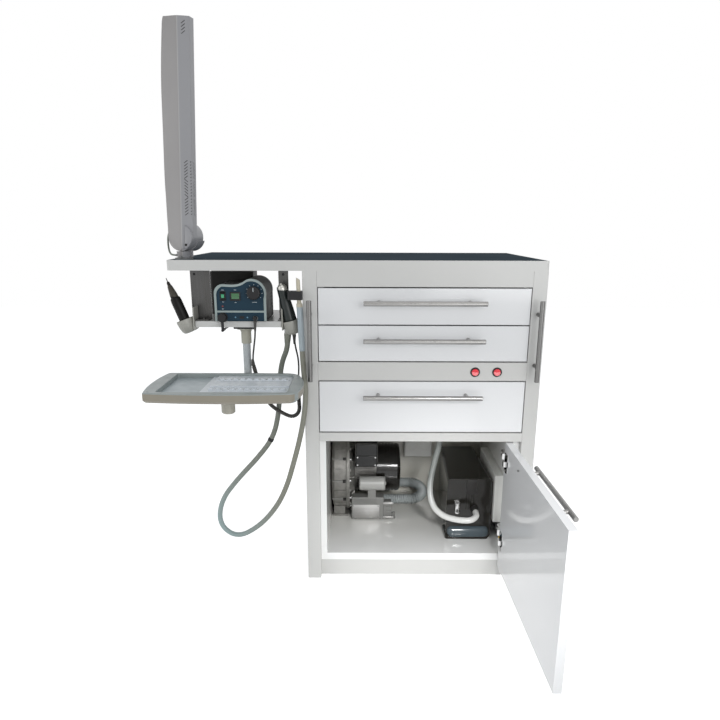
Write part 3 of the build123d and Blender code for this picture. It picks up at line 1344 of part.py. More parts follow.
# Routes of the hoses and cables: X, depth behind the front plane, Z
BELOW_WAND = tuple(low + 0.3 * (low - high) for low, high in zip(WAND_FOOT, WAND_HEAD))
SUCTION_ROUTE = [
    WAND_FOOT,
    BELOW_WAND,
    (-295.5, -9.5, 540),
    (-299, -10, 478),
    (-312, -5, 408),
    (-330, 4, 335),
    (-349, 14, 268),
    (-380, 23, 202),
    (-432, 31, 138),
    (-500, 38, 97),
    (-560, 43, 138),
    (-550, 47, 212),
    (-498, 50, 275),
    (-443, 54, 333),
    (-397, 58, 392),
    (-375, 61, 468),
    (-371, 60, 540),
    (-362, 48, 600),
    (NIPPLE_X, NIPPLE_D, 642),
    (NIPPLE_X, NIPPLE_D, NIPPLE_Z),
]
WHITE_ROUTE = [
    (72, 150, DIVIDER_Z + 8),
    (71, 147, 350),
    (56, 134, 285),
    (47, 113, 222),
    (55, 92, 172),
    (84, 71, 147),
    (118, 52, 143),
    (150, 46, 148),
    (169, 62, 156),
    (TANK_PORT_X, 84, TANK_PORT_Z),
    (TANK_PORT_X, TANK_FRONT - 10, TANK_PORT_Z),
]
POWER_ROUTE = [
    (PLUG_X, 26, PLUG_EXIT_Z),
    (PLUG_X, 46, PLUG_EXIT_Z),
    (-503, 84, 686),
    (-505, 104, 690),
    (-505, 110, 707),
]
MOTOR_ROUTE = [
    (JACK_X, 5, JACK_EXIT_Z),
    (JACK_X, 5, 684),
    (-423, 14, 644),
    (-427.2, 33, 602),
    (-428, 41, 577),
]
CURL_ROUTE = [
    (-428, 41, 577),
    (-428.7, 48, 555),
    (-424, 51, 521),
    (-401, 46, 484),
    (-366, 44, 461),
    (-336, 44, 450),
    (-317, 43, 468),
    (-319.45, 41.9, 503.01),
    (-319, 41, 530),
]
LEAD_ROUTE = [
    (-319, 41, 530),
    (-318.57, 40.13, 555.98),
    (-316, 39, 606),
    (GLAND_X, GLAND_D, 652),
    (GLAND_X, GLAND_D, NIPPLE_Z),
]


def beside_lamp(x, y, up):
    """X, depth and Z of a place given on the lamp's own axes."""
    turn = math.radians(LAMP_TURN)
    return (
        LAMP_X + x * math.cos(turn) - y * math.sin(turn),
        LAMP_Y + x * math.sin(turn) + y * math.cos(turn),
        WORKTOP_Z + up,
    )


LAMP_ROUTE = [
    beside_lamp(*on_drum(LEAD_BOSS_REACH)),
    beside_lamp(*on_drum(LEAD_BOSS_REACH + 9.2)),
    beside_lamp(-50.0, 22, AXIS_UP + 7),
    beside_lamp(-51.5, 19, AXIS_UP - 7),
    beside_lamp(-50.5, 17, AXIS_UP - 22),
    beside_lamp(-47.0, 13, AXIS_UP - 34),
    beside_lamp(-40.0, 6, NECK_GLAND_UP + 3),
    beside_lamp(-30.5, 0, NECK_GLAND_UP),
    beside_lamp(-NECK_GLAND_REACH, 0, NECK_GLAND_UP),
]
CORDS = {
    "suction_hose": (SUCTION_ROUTE, SUCTION_D),
    "white_hose": (WHITE_ROUTE, WHITE_HOSE_D),
    "power_cable": (POWER_ROUTE, CABLE_D),
    "motor_cable": (MOTOR_ROUTE, CABLE_D),
    "motor_curl": (CURL_ROUTE, CURL_D),
}


def ribbed_hose():
    """Corrugated hose from the blower's port, round a half turn, to the back panel's outlet."""
    x0 = BLOWER_X + BLOWER_W + DISC_T + BLOWER_PORT_L
    low = Vector(0, behind(BLOWER_Y), BLOWER_PORT_Z)
    high = Vector(0, behind(HOSE_BACK_Y), BLOWER_PORT_Z + HOSE_RISE)
    turn_x = HOSE_TURN_X
    back_x = HOSE_END_X
    bend = (high - low).length / 2
    centre = (low + high) / 2 + Vector(turn_x, 0, 0)
    across = (low - high).normalized()
    with BuildLine() as path:
        Line(low + Vector(x0, 0, 0), low + Vector(turn_x, 0, 0))
        ThreePointArc(low + Vector(turn_x, 0, 0), centre + Vector(bend, 0, 0), high + Vector(turn_x, 0, 0))
        Line(high + Vector(turn_x, 0, 0), high + Vector(back_x, 0, 0))
    print("ribbed hose bend", round(bend), "across", across)
    route = path.wire()
    length = route.length
    count = int(length / RIB_PITCH)
    pitch = length / count
    sections = []
    normal = (low - high).cross(Vector(1, 0, 0)).normalized()
    valley, crest = RIBBED_VALLEY_D, RIBBED_D
    for k in range(count):
        for share, diameter in ((0.0, valley), (0.2, valley), (0.45, crest), (0.75, crest)):
            at = (k + share) * pitch / length
            sections.append(Plane(origin=route @ at, x_dir=normal, z_dir=route % at) * Circle(diameter / 2))
    at_end = Plane(origin=route @ 1, x_dir=normal, z_dir=route % 1)
    sections.append(at_end * Circle(RIBBED_VALLEY_D / 2))
    outer = loft(sections, ruled=True)
    start = Plane(origin=route @ 0, x_dir=normal, z_dir=route % 0)
    bore = sweep(start * Circle(RIBBED_BORE_D / 2), path=route)
    print("ribbed hose ribs", count, "length", round(length))
    return outer - bore


def main():
    cabinet()
    control_strip()
    grips()
    drawers()
    door()
    shelf()
    control_unit()
    instruments()
    column()
    tray()
    lamp()
    blower()
    pump()
    separator()
    service_boxes()
    for name, (route, diameter) in CORDS.items():
        save(name, tube(name, route, diameter))
    save("handpiece_cable", tube("handpiece_cable", LEAD_ROUTE, CABLE_D))
    save("lamp_cable", tube("lamp_cable", LAMP_ROUTE, CABLE_D))
    save("ribbed_hose", ribbed_hose())


main()
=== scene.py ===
"""A treatment-room cabinet with drawers, an open machine bay, a lamp, a holder shelf and a swivel tray."""
import math

import bpy
from mathutils import Matrix, Vector


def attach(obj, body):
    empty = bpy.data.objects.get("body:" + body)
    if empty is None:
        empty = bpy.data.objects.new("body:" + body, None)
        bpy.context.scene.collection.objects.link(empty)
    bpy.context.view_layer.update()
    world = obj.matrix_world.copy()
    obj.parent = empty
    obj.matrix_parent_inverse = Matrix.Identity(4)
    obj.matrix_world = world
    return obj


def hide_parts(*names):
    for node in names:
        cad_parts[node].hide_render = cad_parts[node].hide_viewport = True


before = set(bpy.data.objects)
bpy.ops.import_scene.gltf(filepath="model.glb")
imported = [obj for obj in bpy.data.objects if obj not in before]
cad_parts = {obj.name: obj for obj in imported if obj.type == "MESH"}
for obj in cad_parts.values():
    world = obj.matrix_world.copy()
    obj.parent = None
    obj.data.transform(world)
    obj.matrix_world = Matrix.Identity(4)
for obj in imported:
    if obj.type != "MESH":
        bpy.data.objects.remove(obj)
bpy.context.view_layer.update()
FRONT = -0.250                  # the cabinet's front plane, in metres
OUTWARD = (0, -1, 0)            # from that plane to the person in front of it
CAMERA_PLACE = (-0.15304, -1.89691, 0.93951)
HEADING, DIP, ROLL = 0.166, 16.499, 0.148       # the camera's angles, in degrees
FOCAL_LENGTH, LENS_SHIFT = 33.132, 0.0867
LAMP_AXIS = (-598, 55, 913)     # where the lamp drum's axis passes over the base's middle
LAMP_TURN, LAMP_LEAN = -13, 3.1                 # how the lamp stands on the worktop, in degrees
BLOWER_Y, BLOWER_Z = 345, 203   # the blower's axis, behind the front and above the floor


def at(x, depth, z):
    """A place in millimetres, measured behind the cabinet's front plane, as a point in metres."""
    return Vector((x / 1000, FRONT + depth / 1000, z / 1000))


def stand_camera():
    """The camera stands where the photograph was taken from."""
    lens = bpy.data.cameras.new("studio_camera")
    lens.sensor_width = 36
    lens.lens = FOCAL_LENGTH
    lens.shift_y = LENS_SHIFT
    camera = bpy.data.objects.new("studio_camera", lens)
    turn = Matrix.Rotation(math.radians(HEADING), 3, "Z") @ Matrix.Rotation(math.radians(90 - DIP), 3, "X")
    camera.matrix_world = Matrix.Translation(CAMERA_PLACE) @ (
        turn @ Matrix.Rotation(math.radians(ROLL), 3, "Z")).to_4x4()
    bpy.context.scene.collection.objects.link(camera)
    bpy.context.scene.camera = camera


stand_camera()
bpy.context.scene.view_settings.view_transform = "Standard"


def lamp_place():
    """From the lamp's own axes, with the drum's axis as their origin, to the room."""
    turn = Matrix.Rotation(math.radians(LAMP_TURN), 4, "Z") @ Matrix.Rotation(math.radians(LAMP_LEAN), 4, "Y")
    return Matrix.Translation(at(*LAMP_AXIS)) @ turn


# Finishes
EDGE = 0.0003                   # half the width of a step between two paints, in metres


class Value:
    """A node's output that sums can be written on; each sum adds its Math node."""

    def __init__(self, owner, socket):
        self.owner, self.socket = owner, socket

    def sum(self, kind, other):
        return self.owner.node("Math", {"operation": kind}, {0: self, 1: other})

    def __add__(self, other):
        return self.sum("ADD", other)

    def __sub__(self, other):
        return self.sum("SUBTRACT", other)

    def __mul__(self, other):
        return self.sum("MULTIPLY", other)

    def __gt__(self, other):
        return self.sum("GREATER_THAN", other)

    def __lt__(self, other):
        return self.sum("LESS_THAN", other)


class Nodes:
    """A node tree, written to through node()."""

    def __init__(self, tree):
        self.tree = tree

    def node(self, kind, settings=None, ends=None, out=0):
        """Add a node: its settings first, then what its sockets hold or where they come from."""
        new = self.tree.nodes.new("ShaderNode" + kind)
        for key, value in (settings or {}).items():
            setattr(new, key, value)
        for key, value in (ends or {}).items():
            if isinstance(value, Value):
                self.tree.links.new(value.socket, new.inputs[key])
            else:
                new.inputs[key].default_value = value
        return Value(self, new.outputs[out]) if new.outputs else None

    def direct(self):
        """1 for a ray from the camera, a reflection or a lens, which meets plain white, and else 0."""
        camera, glossy, through = (self.node("LightPath", out=k) for k in (0, 3, 6))
        return camera.sum("MAXIMUM", glossy.sum("MAXIMUM", through))


class Finish(Nodes):
    """One material: a Principled shader and the nodes that vary it."""

    def __init__(self, name, colour, roughness, **sockets):
        self.material = bpy.data.materials.new(name)
        self.material.use_nodes = True
        super().__init__(self.material.node_tree)
        self.shader = next(n for n in self.tree.nodes if n.type == "BSDF_PRINCIPLED")
        self.shader.inputs["Base Color"].default_value = (*colour, 1.0)
        self.shader.inputs["Roughness"].default_value = roughness
        for socket, value in sockets.items():
            self.shader.inputs[socket.replace("_", " ")].default_value = value

    def feed(self, socket, value):
        """Lead a value to the shader."""
        self.tree.links.new(value.socket, self.shader.inputs[socket])

    def place(self, turn=(0, 0, 0), scale=(1, 1, 1), shift=(0, 0, 0)):
        """Object coordinates, turned and stretched for a pattern."""
        spot = self.node("TexCoord", out=3)
        return self.node("Mapping", None, {0: spot, 1: shift, 2: turn, 3: scale})

    def noise(self, fineness, detail, rough=0.55, stretch=(1, 1, 1)):
        """Noise over the piece, finer with a higher first number."""
        return self.node("TexNoise", None, {
            "Vector": self.place(scale=stretch), "Scale": fineness, "Detail": detail, "Roughness": rough})

    def along(self, axis):
        """How far a point lies along one axis, in metres."""
        return self.node("SeparateXYZ", None, {0: self.place()}, out="XYZ".index(axis))

    def blend(self, mask, low, high):
        """Colour that goes from low to high with a mask."""
        ends = {0: mask, 6: low, 7: high}
        for key in (6, 7):
            if isinstance(ends[key], tuple):
                ends[key] = (*ends[key], 1.0)
        return self.node("Mix", {"data_type": "RGBA"}, ends, out=2)

    def spread(self, value, low, high, to_low, to_high):
        """One range laid over another, held at its ends."""
        return self.node("MapRange", None, {0: value, 1: low, 2: high, 3: to_low, 4: to_high})

    def vary(self, pattern, low, high):
        """From low to high, over the range that a noise mostly keeps to."""
        return self.spread(pattern, 0.3, 0.7, low, high)

    def cloudy(self, colour, pattern, depth, shade):
        """Colour darkened in soft clouds, where a pattern is high."""
        return self.node("Mix", {"data_type": "RGBA", "blend_type": "MULTIPLY"}, {
            0: self.spread(pattern, 0.35, 0.7, 0.0, depth), 6: colour, 7: (shade, shade, shade, 1.0)}, out=2)

    def grain(self, height, strength, depth):
        """Bump from a height."""
        bump = self.node("Bump", None, {"Strength": strength, "Distance": depth, "Height": height})
        self.feed("Normal", bump)

    def mottle(self, scale, low, high, rough_low, rough_high, bump, depth, fine):
        """Soft colour and gloss changes over a surface, with a fine grain on top."""
        wide = self.noise(scale, 4.0)
        self.feed("Base Color", self.blend(self.vary(wide, 0.0, 1.0), low, high))
        self.feed("Roughness", self.vary(self.noise(scale * 2.3, 5.0), rough_low, rough_high))
        self.grain(self.noise(fine, 2.0), bump, depth)
        return self.material


def laminate():
    """Pale melamine board: off-white, satin, with a very fine press grain."""
    f = Finish("pale_laminate", (0.58, 0.58, 0.572), 0.3)
    return f.mottle(3.0, (0.56, 0.558, 0.54), (0.59, 0.589, 0.572), 0.27, 0.32, 0.04, 0.0002, 900)


def lacquer():
    """Fronts: the same board under a glossier, whiter face."""
    f = Finish("white_fronts", (0.78, 0.78, 0.785), 0.10)
    return f.mottle(2.2, (0.735, 0.74, 0.747), (0.755, 0.76, 0.766), 0.08, 0.12, 0.015, 0.0002, 700)


def inside_board():
    """Boards of the machine bay: warm pale grey with a glossier face, rougher towards the back; towards the
    back also warmer, and painted darker as shade deep in the bay.
    """
    f = Finish("bay_board", (0.74, 0.73, 0.70), 0.18)
    far = f.spread(f.along("Y"), -0.22, 0.24, 0.0, 1.0)
    # painted shade: the colour goes from pale at the front to a darker, warmer grey at the back of the bay
    f.feed("Base Color", f.blend(far, (0.86, 0.86, 0.85), (0.54, 0.53, 0.475)))
    f.feed("Roughness", f.spread(far, 0.0, 1.0, 0.08, 0.24))
    f.grain(f.noise(700.0, 2.0), 0.02, 0.0002)
    return f.material


def inlay():
    """Dark blue-grey worktop laminate with a fine speckle."""
    f = Finish("slate_inlay", (0.03, 0.045, 0.06), 0.3, Specular_IOR_Level=0.0, IOR=1.03)
    speck = f.noise(650.0, 2.0)
    wide = f.noise(5.0, 4.0)
    tone = f.spread(speck, 0.35, 0.75, 0.0, 1.0) * 0.5 + f.vary(wide, 0.0, 0.5)
    f.feed("Base Color", f.blend(tone, (0.050, 0.066, 0.078), (0.080, 0.099, 0.116)))
    f.feed("Roughness", f.vary(wide, 0.20, 0.32))
    f.grain(speck, 0.06, 0.0002)
    return f.material


def brushed(name, axis, shade, rough=0.26, fine=2600.0):
    """Stainless steel with hair lines along one axis."""
    f = Finish(name, (shade, shade, shade), rough, Metallic=1.0)
    lines = f.noise(fine, 3.0, stretch=tuple(0.012 if a == axis else 1.0 for a in "XYZ"))
    wide = f.noise(24.0, 3.0, stretch=tuple(0.1 if a == axis else 1.0 for a in "XYZ"))
    low, high = shade * 0.80, shade * 1.14
    mask = f.vary(lines, 0.0, 0.7) + f.vary(wide, 0.0, 0.3)
    f.feed("Base Color", f.blend(mask, (low, low * 0.97, low * 0.92), (high, high, high)))
    f.feed("Roughness", f.vary(lines, rough * 0.75, rough * 1.4))
    f.grain(lines, 0.08, 0.0002)
    return f.material


def chrome(name, shade):
    """Bright plating with faint cloudy wear."""
    rough = 0.12
    f = Finish(name, (shade, shade, shade), rough, Metallic=1.0)
    low, high = (shade * 0.88,) * 3, (shade * 1.08,) * 3
    return f.mottle(60.0, low, high, rough * 0.7, rough * 1.7, 0.02, 0.0001, 1500)


def moulded(name, colour, rough, **sockets):
    """Moulded plastic: a spark-eroded grain and slight shine changes."""
    f = Finish(name, colour, rough, **sockets)
    low = tuple(c * 0.94 for c in colour)
    high = tuple(min(1.0, c * 1.06) for c in colour)
    return f.mottle(9.0, low, high, rough * 0.85, rough * 1.15, 0.12, 0.0002, 1800.0)


def painted(name, colour, rough, orange=420.0, bump=0.10, **sockets):
    """Powder coat or enamel with a light orange peel."""
    f = Finish(name, colour, rough, Coat_Weight=0.15, Coat_Roughness=0.2, **sockets)
    low = tuple(c * 0.93 for c in colour)
    high = tuple(min(1.0, c * 1.05) for c in colour)
    return f.mottle(7.0, low, high, rough * 0.85, rough * 1.2, bump, 0.0004, orange)


def cast_metal(name, dark, light, rough, metal):
    """As-cast aluminium: coarse sand texture, darker in hollows, a few bright rubs."""
    f = Finish(name, light, rough, Metallic=metal)
    coarse = f.noise(38.0, 6.0, 0.6)
    fine = f.noise(900.0, 3.0)
    rub = f.spread(coarse, 0.30, 0.72, 0.0, 1.0)
    f.feed("Base Color", f.blend(rub, dark, light))
    f.feed("Roughness", f.spread(coarse, 0.3, 0.75, rough * 1.25, rough * 0.75))
    f.grain(fine * 0.5 + coarse * 0.8, 0.30, 0.0005)
    return f.material


def rubber(name, colour):
    """Hose and cable rubber with a soft bloom."""
    rough = 0.42
    f = Finish(name, colour, rough)
    low = tuple(c * 0.85 for c in colour)
    high = tuple(min(1.0, c * 1.1 + 0.004) for c in colour)
    return f.mottle(30.0, low, high, rough * 0.8, rough * 1.2, 0.10, 0.0002, 1100)


def suction_rubber():
    """The long hose: warm grey on the way up to the wand, painted darker olive grey as shade by the holder,
    behind the tray, and painted pale bluish at the left bend as a highlight.
    """
    f = Finish("suction_rubber", (0.20, 0.21, 0.19), 0.42)
    # painted highlight: low down at the left bend the hose is painted pale bluish, where the light falls
    across = f.spread(f.along("X"), -0.56, -0.36, 1.0, 0.0)
    low = f.spread(f.along("Z"), 0.10, 0.42, 1.0, 0.0)
    tone = f.blend(across * low, (0.22, 0.22, 0.18), (0.33, 0.44, 0.45))
    # painted shade: further back and higher, by the holder behind the tray, the hose is painted darker
    far = f.spread(f.along("Y"), -0.235, -0.205, 0.0, 1.0) * f.spread(f.along("Z"), 0.2, 0.5, 0.0, 1.0)
    f.feed("Base Color", f.blend(far, tone, (0.16, 0.175, 0.15)))
    f.feed("Roughness", f.vary(f.noise(60.0, 4.0), 0.34, 0.5))
    f.grain(f.noise(1100.0, 2.0), 0.08, 0.0002)
    return f.material


def zoned(name, zones, rough, metal=None, **sockets):
    """Colour that changes with height: (where it starts, colour), lowest first. Metal starts at its own. On
    some pieces the change is their own two colours; on others a lighter top is painted light.
    """
    f = Finish(name, zones[0][1], rough, **sockets)
    height = f.along("Z")
    colour = zones[0][1]
    for start, shade in zones[1:]:
        colour = f.blend(f.spread(height, start - EDGE, start + EDGE, 0.0, 1.0), colour, shade)
    wide = f.noise(40.0, 4.0)
    f.feed("Base Color", f.cloudy(colour, wide, 0.22, 0.7))
    if metal is not None:
        f.feed("Metallic", f.spread(height, metal - EDGE, metal + EDGE, 0.0, 0.85))
    f.feed("Roughness", f.vary(wide, rough * 0.85, rough * 1.2))
    f.grain(f.noise(1200.0, 2.0), 0.06, 0.0002)
    return f.material


def lamp_coat():
    """Satin grey, with painted light: warmer and darker left of the ridge and paler right of it, as the two
    flats take the light, and a painted highlight along the ridge.
    """
    f = Finish("lamp_coat", (0.265, 0.265, 0.27), 0.38, Coat_Weight=0.15, Coat_Roughness=0.25)
    home = lamp_place().inverted()
    across = f.node("SeparateXYZ", None, {0: f.place(tuple(home.to_euler()), shift=tuple(home.translation))})
    # painted light: the flat left of the ridge is painted warmer and darker, the flat right of it paler
    side = f.spread(across, 0.0055, 0.0075, 0.0, 1.0)
    # painted highlight: a pale line along the ridge
    line = f.spread(across, 0.0048, 0.0062, 0.0, 1.0) * f.spread(across, 0.0068, 0.0082, 1.0, 0.0)
    wide = f.noise(6.0, 4.0)
    body = f.blend(side, (0.262, 0.252, 0.250), (0.292, 0.292, 0.305))
    tone = f.blend(line * 0.75, body, (0.42, 0.41, 0.405))
    f.feed("Base Color", f.cloudy(tone, wide, 0.25, 0.8))
    f.feed("Roughness", f.vary(wide, 0.33, 0.44))
    f.grain(f.noise(700.0, 2.0), 0.10, 0.0003)
    return f.material


def tray_plastic():
    """The tray: rim and well painted lighter and blue-grey as lit faces, the outer sides painted darker and
    warmer as shaded faces.
    """
    f = Finish("tray_rim", (0.29, 0.32, 0.315), 0.38)
    x, y, z = f.along("X"), f.along("Y"), f.along("Z")
    left, right, near, far, rim = -0.6535, -0.2985, -0.441, -0.236, 0.5745
    inside = (x > left) * (x < right) * (y > near) * (y < far)
    top = z > rim
    light = inside + top - inside * top
    # painted light: lit blue-grey on the rim's top and in the well, shaded warm grey on the outer sides
    tone = f.blend(light, (0.27, 0.245, 0.195), (0.30, 0.335, 0.33))
    wide = f.noise(30.0, 4.0)
    f.feed("Base Color", f.cloudy(tone, wide, 0.2, 0.75))
    f.feed("Roughness", f.vary(wide, 0.32, 0.44))
    f.grain(f.noise(1300.0, 2.0), 0.06, 0.0002)
    return f.material


def pipe_rubber():
    """The short white hose: greyer above, whiter where it lies in the light."""
    f = Finish("white_hose_rubber", (0.6, 0.6, 0.58), 0.3)
    up = f.spread(f.along("Z"), 0.155, 0.26, 0.0, 1.0)
    streak = f.noise(40.0, 3.0, stretch=(1, 1, 0.3))
    tone = up + f.vary(streak, -0.06, 0.06)
    f.feed("Base Color", f.blend(tone, (0.66, 0.66, 0.64), (0.21, 0.225, 0.215)))
    f.feed("Roughness", f.vary(streak, 0.22, 0.34))
    f.grain(f.noise(900.0, 2.0), 0.05, 0.0002)
    return f.material


def glass(name, colour, strength=0.0):
    """Lens plastic under a clear coat, glowing a little where it is lit."""
    f = Finish(name, colour, 0.12, Coat_Weight=0.6, Coat_Roughness=0.05)
    wide = f.noise(300.0, 2.0)
    low, high = tuple(c * 0.85 for c in colour), tuple(min(1, c * 1.15) for c in colour)
    f.feed("Base Color", f.blend(wide, low, high))
    if strength:
        f.shader.inputs["Emission Color"].default_value = (*colour, 1.0)
        f.shader.inputs["Emission Strength"].default_value = strength
    return f.material


finish = {
    "board": laminate(),
    "front": lacquer(),
    "inside": inside_board(),
    "inlay": inlay(),
    "steel_x": brushed("brushed_bar", "X", 0.29),
    "steel_y": brushed("brushed_door_bar", "Y", 0.30),
    "steel_z": brushed("brushed_upright", "Z", 0.17),
    "plate": brushed("brushed_plate", "Z", 0.10, 0.30, 1600.0),
    "runner": brushed("zinc_runner", "Y", 0.52, 0.34),
    "chrome": chrome("hinge_chrome", 0.60),
    "black": moulded("black_moulding", (0.012, 0.012, 0.013), 0.38, Specular_IOR_Level=0.3),
    "bezel": moulded("pale_bezel", (0.30, 0.36, 0.35), 0.38),
    "panel": moulded("slate_blue_panel", (0.014, 0.038, 0.060), 0.42, IOR=1.25),
    "dark": moulded("dark_housing", (0.022, 0.021, 0.020), 0.48, Specular_IOR_Level=0.25),
    "beige": moulded("warm_grey_holder", (0.34, 0.335, 0.30), 0.36),
    "grip_left": zoned(
        "left_handpiece",
        ((0.0, (0.007, 0.0065, 0.006)), (0.7702, (0.062, 0.056, 0.046)), (0.798, (0.020, 0.018, 0.016))),
        0.4, Specular_IOR_Level=0.15),
    "grip_right": zoned("right_handpiece", ((0.0, (0.014, 0.020, 0.019)), (0.7867, (0.50, 0.49, 0.46))),
                        0.34, 0.7867, Specular_IOR_Level=0.35),
    "wand": zoned("wand_tube", ((0.0, (0.36, 0.42, 0.45)), (0.7485, (0.50, 0.46, 0.36))), 0.34),
    "column": painted("column_coat", (0.40, 0.39, 0.32), 0.34),
    # painted light: the arm's top, above 556 mm, is painted paler and bluer than its sides
    "arm": zoned("arm_coat", ((0.0, (0.40, 0.38, 0.32)), (0.556, (0.47, 0.50, 0.51))), 0.28),
    "tray": tray_plastic(),
    # painted light: the sheet is painted paler on its top, above 566.5 mm, and darker lower down in the tray
    "insert": zoned("tray_sheet", ((0.0, (0.42, 0.48, 0.50)), (0.5665, (0.66, 0.70, 0.735))), 0.36),
    "lamp": lamp_coat(),
    "lamp_metal": painted("lamp_cradle", (0.13, 0.135, 0.135), 0.36),
    "lens": glass("lamp_panel", (0.86, 0.86, 0.84)),
    "casting": cast_metal("blower_casting", (0.16, 0.157, 0.145), (0.26, 0.252, 0.235), 0.40, 0.35),
    "motor": cast_metal("motor_casting", (0.085, 0.083, 0.076), (0.16, 0.155, 0.145), 0.32, 0.4),
    "fan": cast_metal("fan_cover", (0.006, 0.0055, 0.0045), (0.011, 0.0095, 0.008), 0.11, 0.0),
    "pump": painted("pump_coat", (0.20, 0.20, 0.19), 0.40),
    "white": moulded("white_moulding", (0.74, 0.74, 0.71), 0.34),
    "shell_white": moulded("capacitor_shell", (0.36, 0.36, 0.345), 0.36),
    "tank": painted("tank_gloss", (0.011, 0.010, 0.008), 0.10, 60.0, 0.03, Specular_IOR_Level=0.3),
    "red": glass("red_lens", (0.62, 0.004, 0.020), 0.25),
    "green": glass("green_lens", (0.02, 0.30, 0.13), 0.12),
    "screen": glass("green_screen", (0.022, 0.135, 0.038), 0.06),
    "dim_red": glass("dim_red_lens", (0.16, 0.012, 0.014)),
    "dots": moulded("pale_dots", (0.62, 0.68, 0.70), 0.5),
    "sky_dots": moulded("light_blue_dots", (0.12, 0.26, 0.36), 0.5),
    "gloss_black": painted(
        "terminal_black", (0.010, 0.010, 0.010), 0.14, 200.0, 0.03, Specular_IOR_Level=0.3),
    "plate_pale": brushed("bare_label_plate", "X", 0.44, 0.42, 1200.0),
    # the tank foot's bluish tone is a painted reflection on the glossy black tank
    "tank_foot_painted_reflection": painted("tank_foot_gloss", (0.055, 0.075, 0.088), 0.10, 60.0, 0.03),
    "yellow": moulded("yellow_clip", (0.62, 0.38, 0.03), 0.4),
    "hose": suction_rubber(),
    "white_hose": pipe_rubber(),
    "cable": rubber("dark_cable", (0.052, 0.050, 0.045)),
    "lamp_cable": rubber("lamp_cable_grey", (0.17, 0.19, 0.16)),
    "ribbed": rubber("ribbed_hose_rubber", (0.36, 0.39, 0.39)),
}
USED = {
    "board": "side_panels front_rails plinth worktop_board instrument_shelf control_strip",
    "inside": "carcass_boards back_panel",
    "front": "drawer_1 drawer_2 drawer_3 door_panel",
    "inlay": "worktop_inlay",
    "steel_x": "drawer_1_handle drawer_2_handle drawer_3_handle",
    "steel_y": "door_handle",
    "steel_z": "post_grips",
    "plate": "hanger_plates",
    "runner": "fixed_runners",
    "chrome": "door_hinge_cups hinge_arms",
    "black": "switch_bodies unit_knob unit_fittings unit_plugs wand_clip unit_rocker",
    "bezel": "unit_bezel",
    "panel": "unit_panel",
    "dark": "unit_housing",
    "beige": "holder_cups",
    "grip_left": "handpiece_left",
    "grip_right": "handpiece_right",
    "wand": "suction_wand",
    "column": "column_socket",
    "arm": "tray_arm",
    "tray": "tray_pan",
    "insert": "tray_insert",
    "lamp": "lamp_housing lamp_yoke",
    "lamp_metal": "lamp_base",
    "lens": "lamp_diffuser",
    "casting": "blower_casing",
    "motor": "blower_motor",
    "fan": "blower_fan_cover",
    "pump": "pump_box",
    "white": "service_boxes",
    "shell_white": "run_capacitor",
    "tank": "separator_tank",
    "red": "switch_rocker_1 switch_rocker_2",
}
for key, nodes in USED.items():
    for node in nodes.split():
        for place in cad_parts[node].material_slots:
            place.material = finish[key]


# Hoses and cables
def route_line(name, route, steps=12):
    """A smooth line whose control points are the hose's route."""
    curve = bpy.data.curves.new(name, "CURVE")
    curve.dimensions = "3D"
    curve.resolution_u = steps
    line = curve.splines.new("NURBS")
    line.points.add(len(route) - 1)
    for point, spot in zip(line.points, route):
        point.co = (*at(*spot), 1.0)
    line.order_u = 3
    line.use_endpoint_u = True
    thing = bpy.data.objects.new(name, curve)
    bpy.context.scene.collection.objects.link(thing)
    return thing


def hose(name, node, body, slot, route, thick, paint, length, **facts):
    """A round hose or cable in place of its solid."""
    thing = route_line(name, route)
    thing.data.bevel_depth = thick / 2000
    thing.data.bevel_resolution = 8
    thing.data.use_fill_caps = True
    thing.data.materials.append(paint)
    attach(thing, body)
    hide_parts(node)


def followed(route):
    """Points of the smooth line through a route, read from the line itself."""
    thing = route_line("route_read", route, 24)
    bpy.context.view_layer.update()
    mesh = bpy.data.meshes.new_from_object(thing)
    points = [v.co.copy() for v in mesh.vertices]
    bpy.data.meshes.remove(mesh)
    bpy.data.objects.remove(thing)
    return points


# Routes in millimetres, from exit to end, as at() takes them
SUCTION = [
    (-342.5, 34, 674), (-342.5, 34, 642), (-362, 48, 600), (-371, 60, 540), (-374, 61, 468), (-391, 58, 392),
    (-437, 54, 333), (-492, 50, 275), (-541, 47, 212), (-550, 43, 141), (-500, 38, 103), (-435, 31, 142),
    (-384, 23, 204), (-354, 14, 268), (-334, 4, 335), (-314, -5, 408), (-300, -10, 478), (-295.5, -9.5, 540),
    (-300.55, -12.4, 595.9), (-302.5, -10, 640),
]
WHITE = [
    (72, 150, 410.5), (70, 147, 350), (52, 134, 288), (39, 113, 226), (47, 92, 178), (76, 71, 156),
    (114, 54, 152), (150, 46, 153), (169, 62, 158), (172, 84, 158), (172, 108, 158),
]
POWER = [(-501, 26, 689), (-501, 46, 689), (-503, 84, 686), (-505, 104, 690), (-505, 110, 707)]
MOTOR = [(-420, 5, 711), (-420, 5, 684), (-426, 14, 650), (-433, 27, 616), (-434, 36, 597)]
CURL = [
    (-434, 36, 597), (-431, 42, 577), (-424, 48, 553), (-417, 51, 520), (-397, 46, 486), (-364, 44, 464),
    (-336, 44, 452), (-317, 43, 468), (-319.45, 41.9, 503), (-319, 41, 530),
]
LEAD = [(-319, 41, 530), (-318.57, 40.13, 556), (-316, 39, 606), (-326, 34, 652), (-326, 34, 674)]
LAMP_LEAD = [
    (-627.4, 86.4, 926), (-635.8, 88.4, 929.1), (-641.8, 87.7, 920), (-643.9, 85.1, 906), (-643.4, 82.9, 891),
    (-640.9, 78.2, 879), (-635.6, 69.8, 872), (-627.7, 61.9, 869), (-617.5, 59.5, 869),
]
hose("suction_line", "suction_hose", "cabinet_body", "hose_grey", SUCTION, 13.5, finish["hose"], 1274,
     far_end="tool", stiffness="medium", lay="hanging", with_pieces=["suction_wand", "wand_clip"])
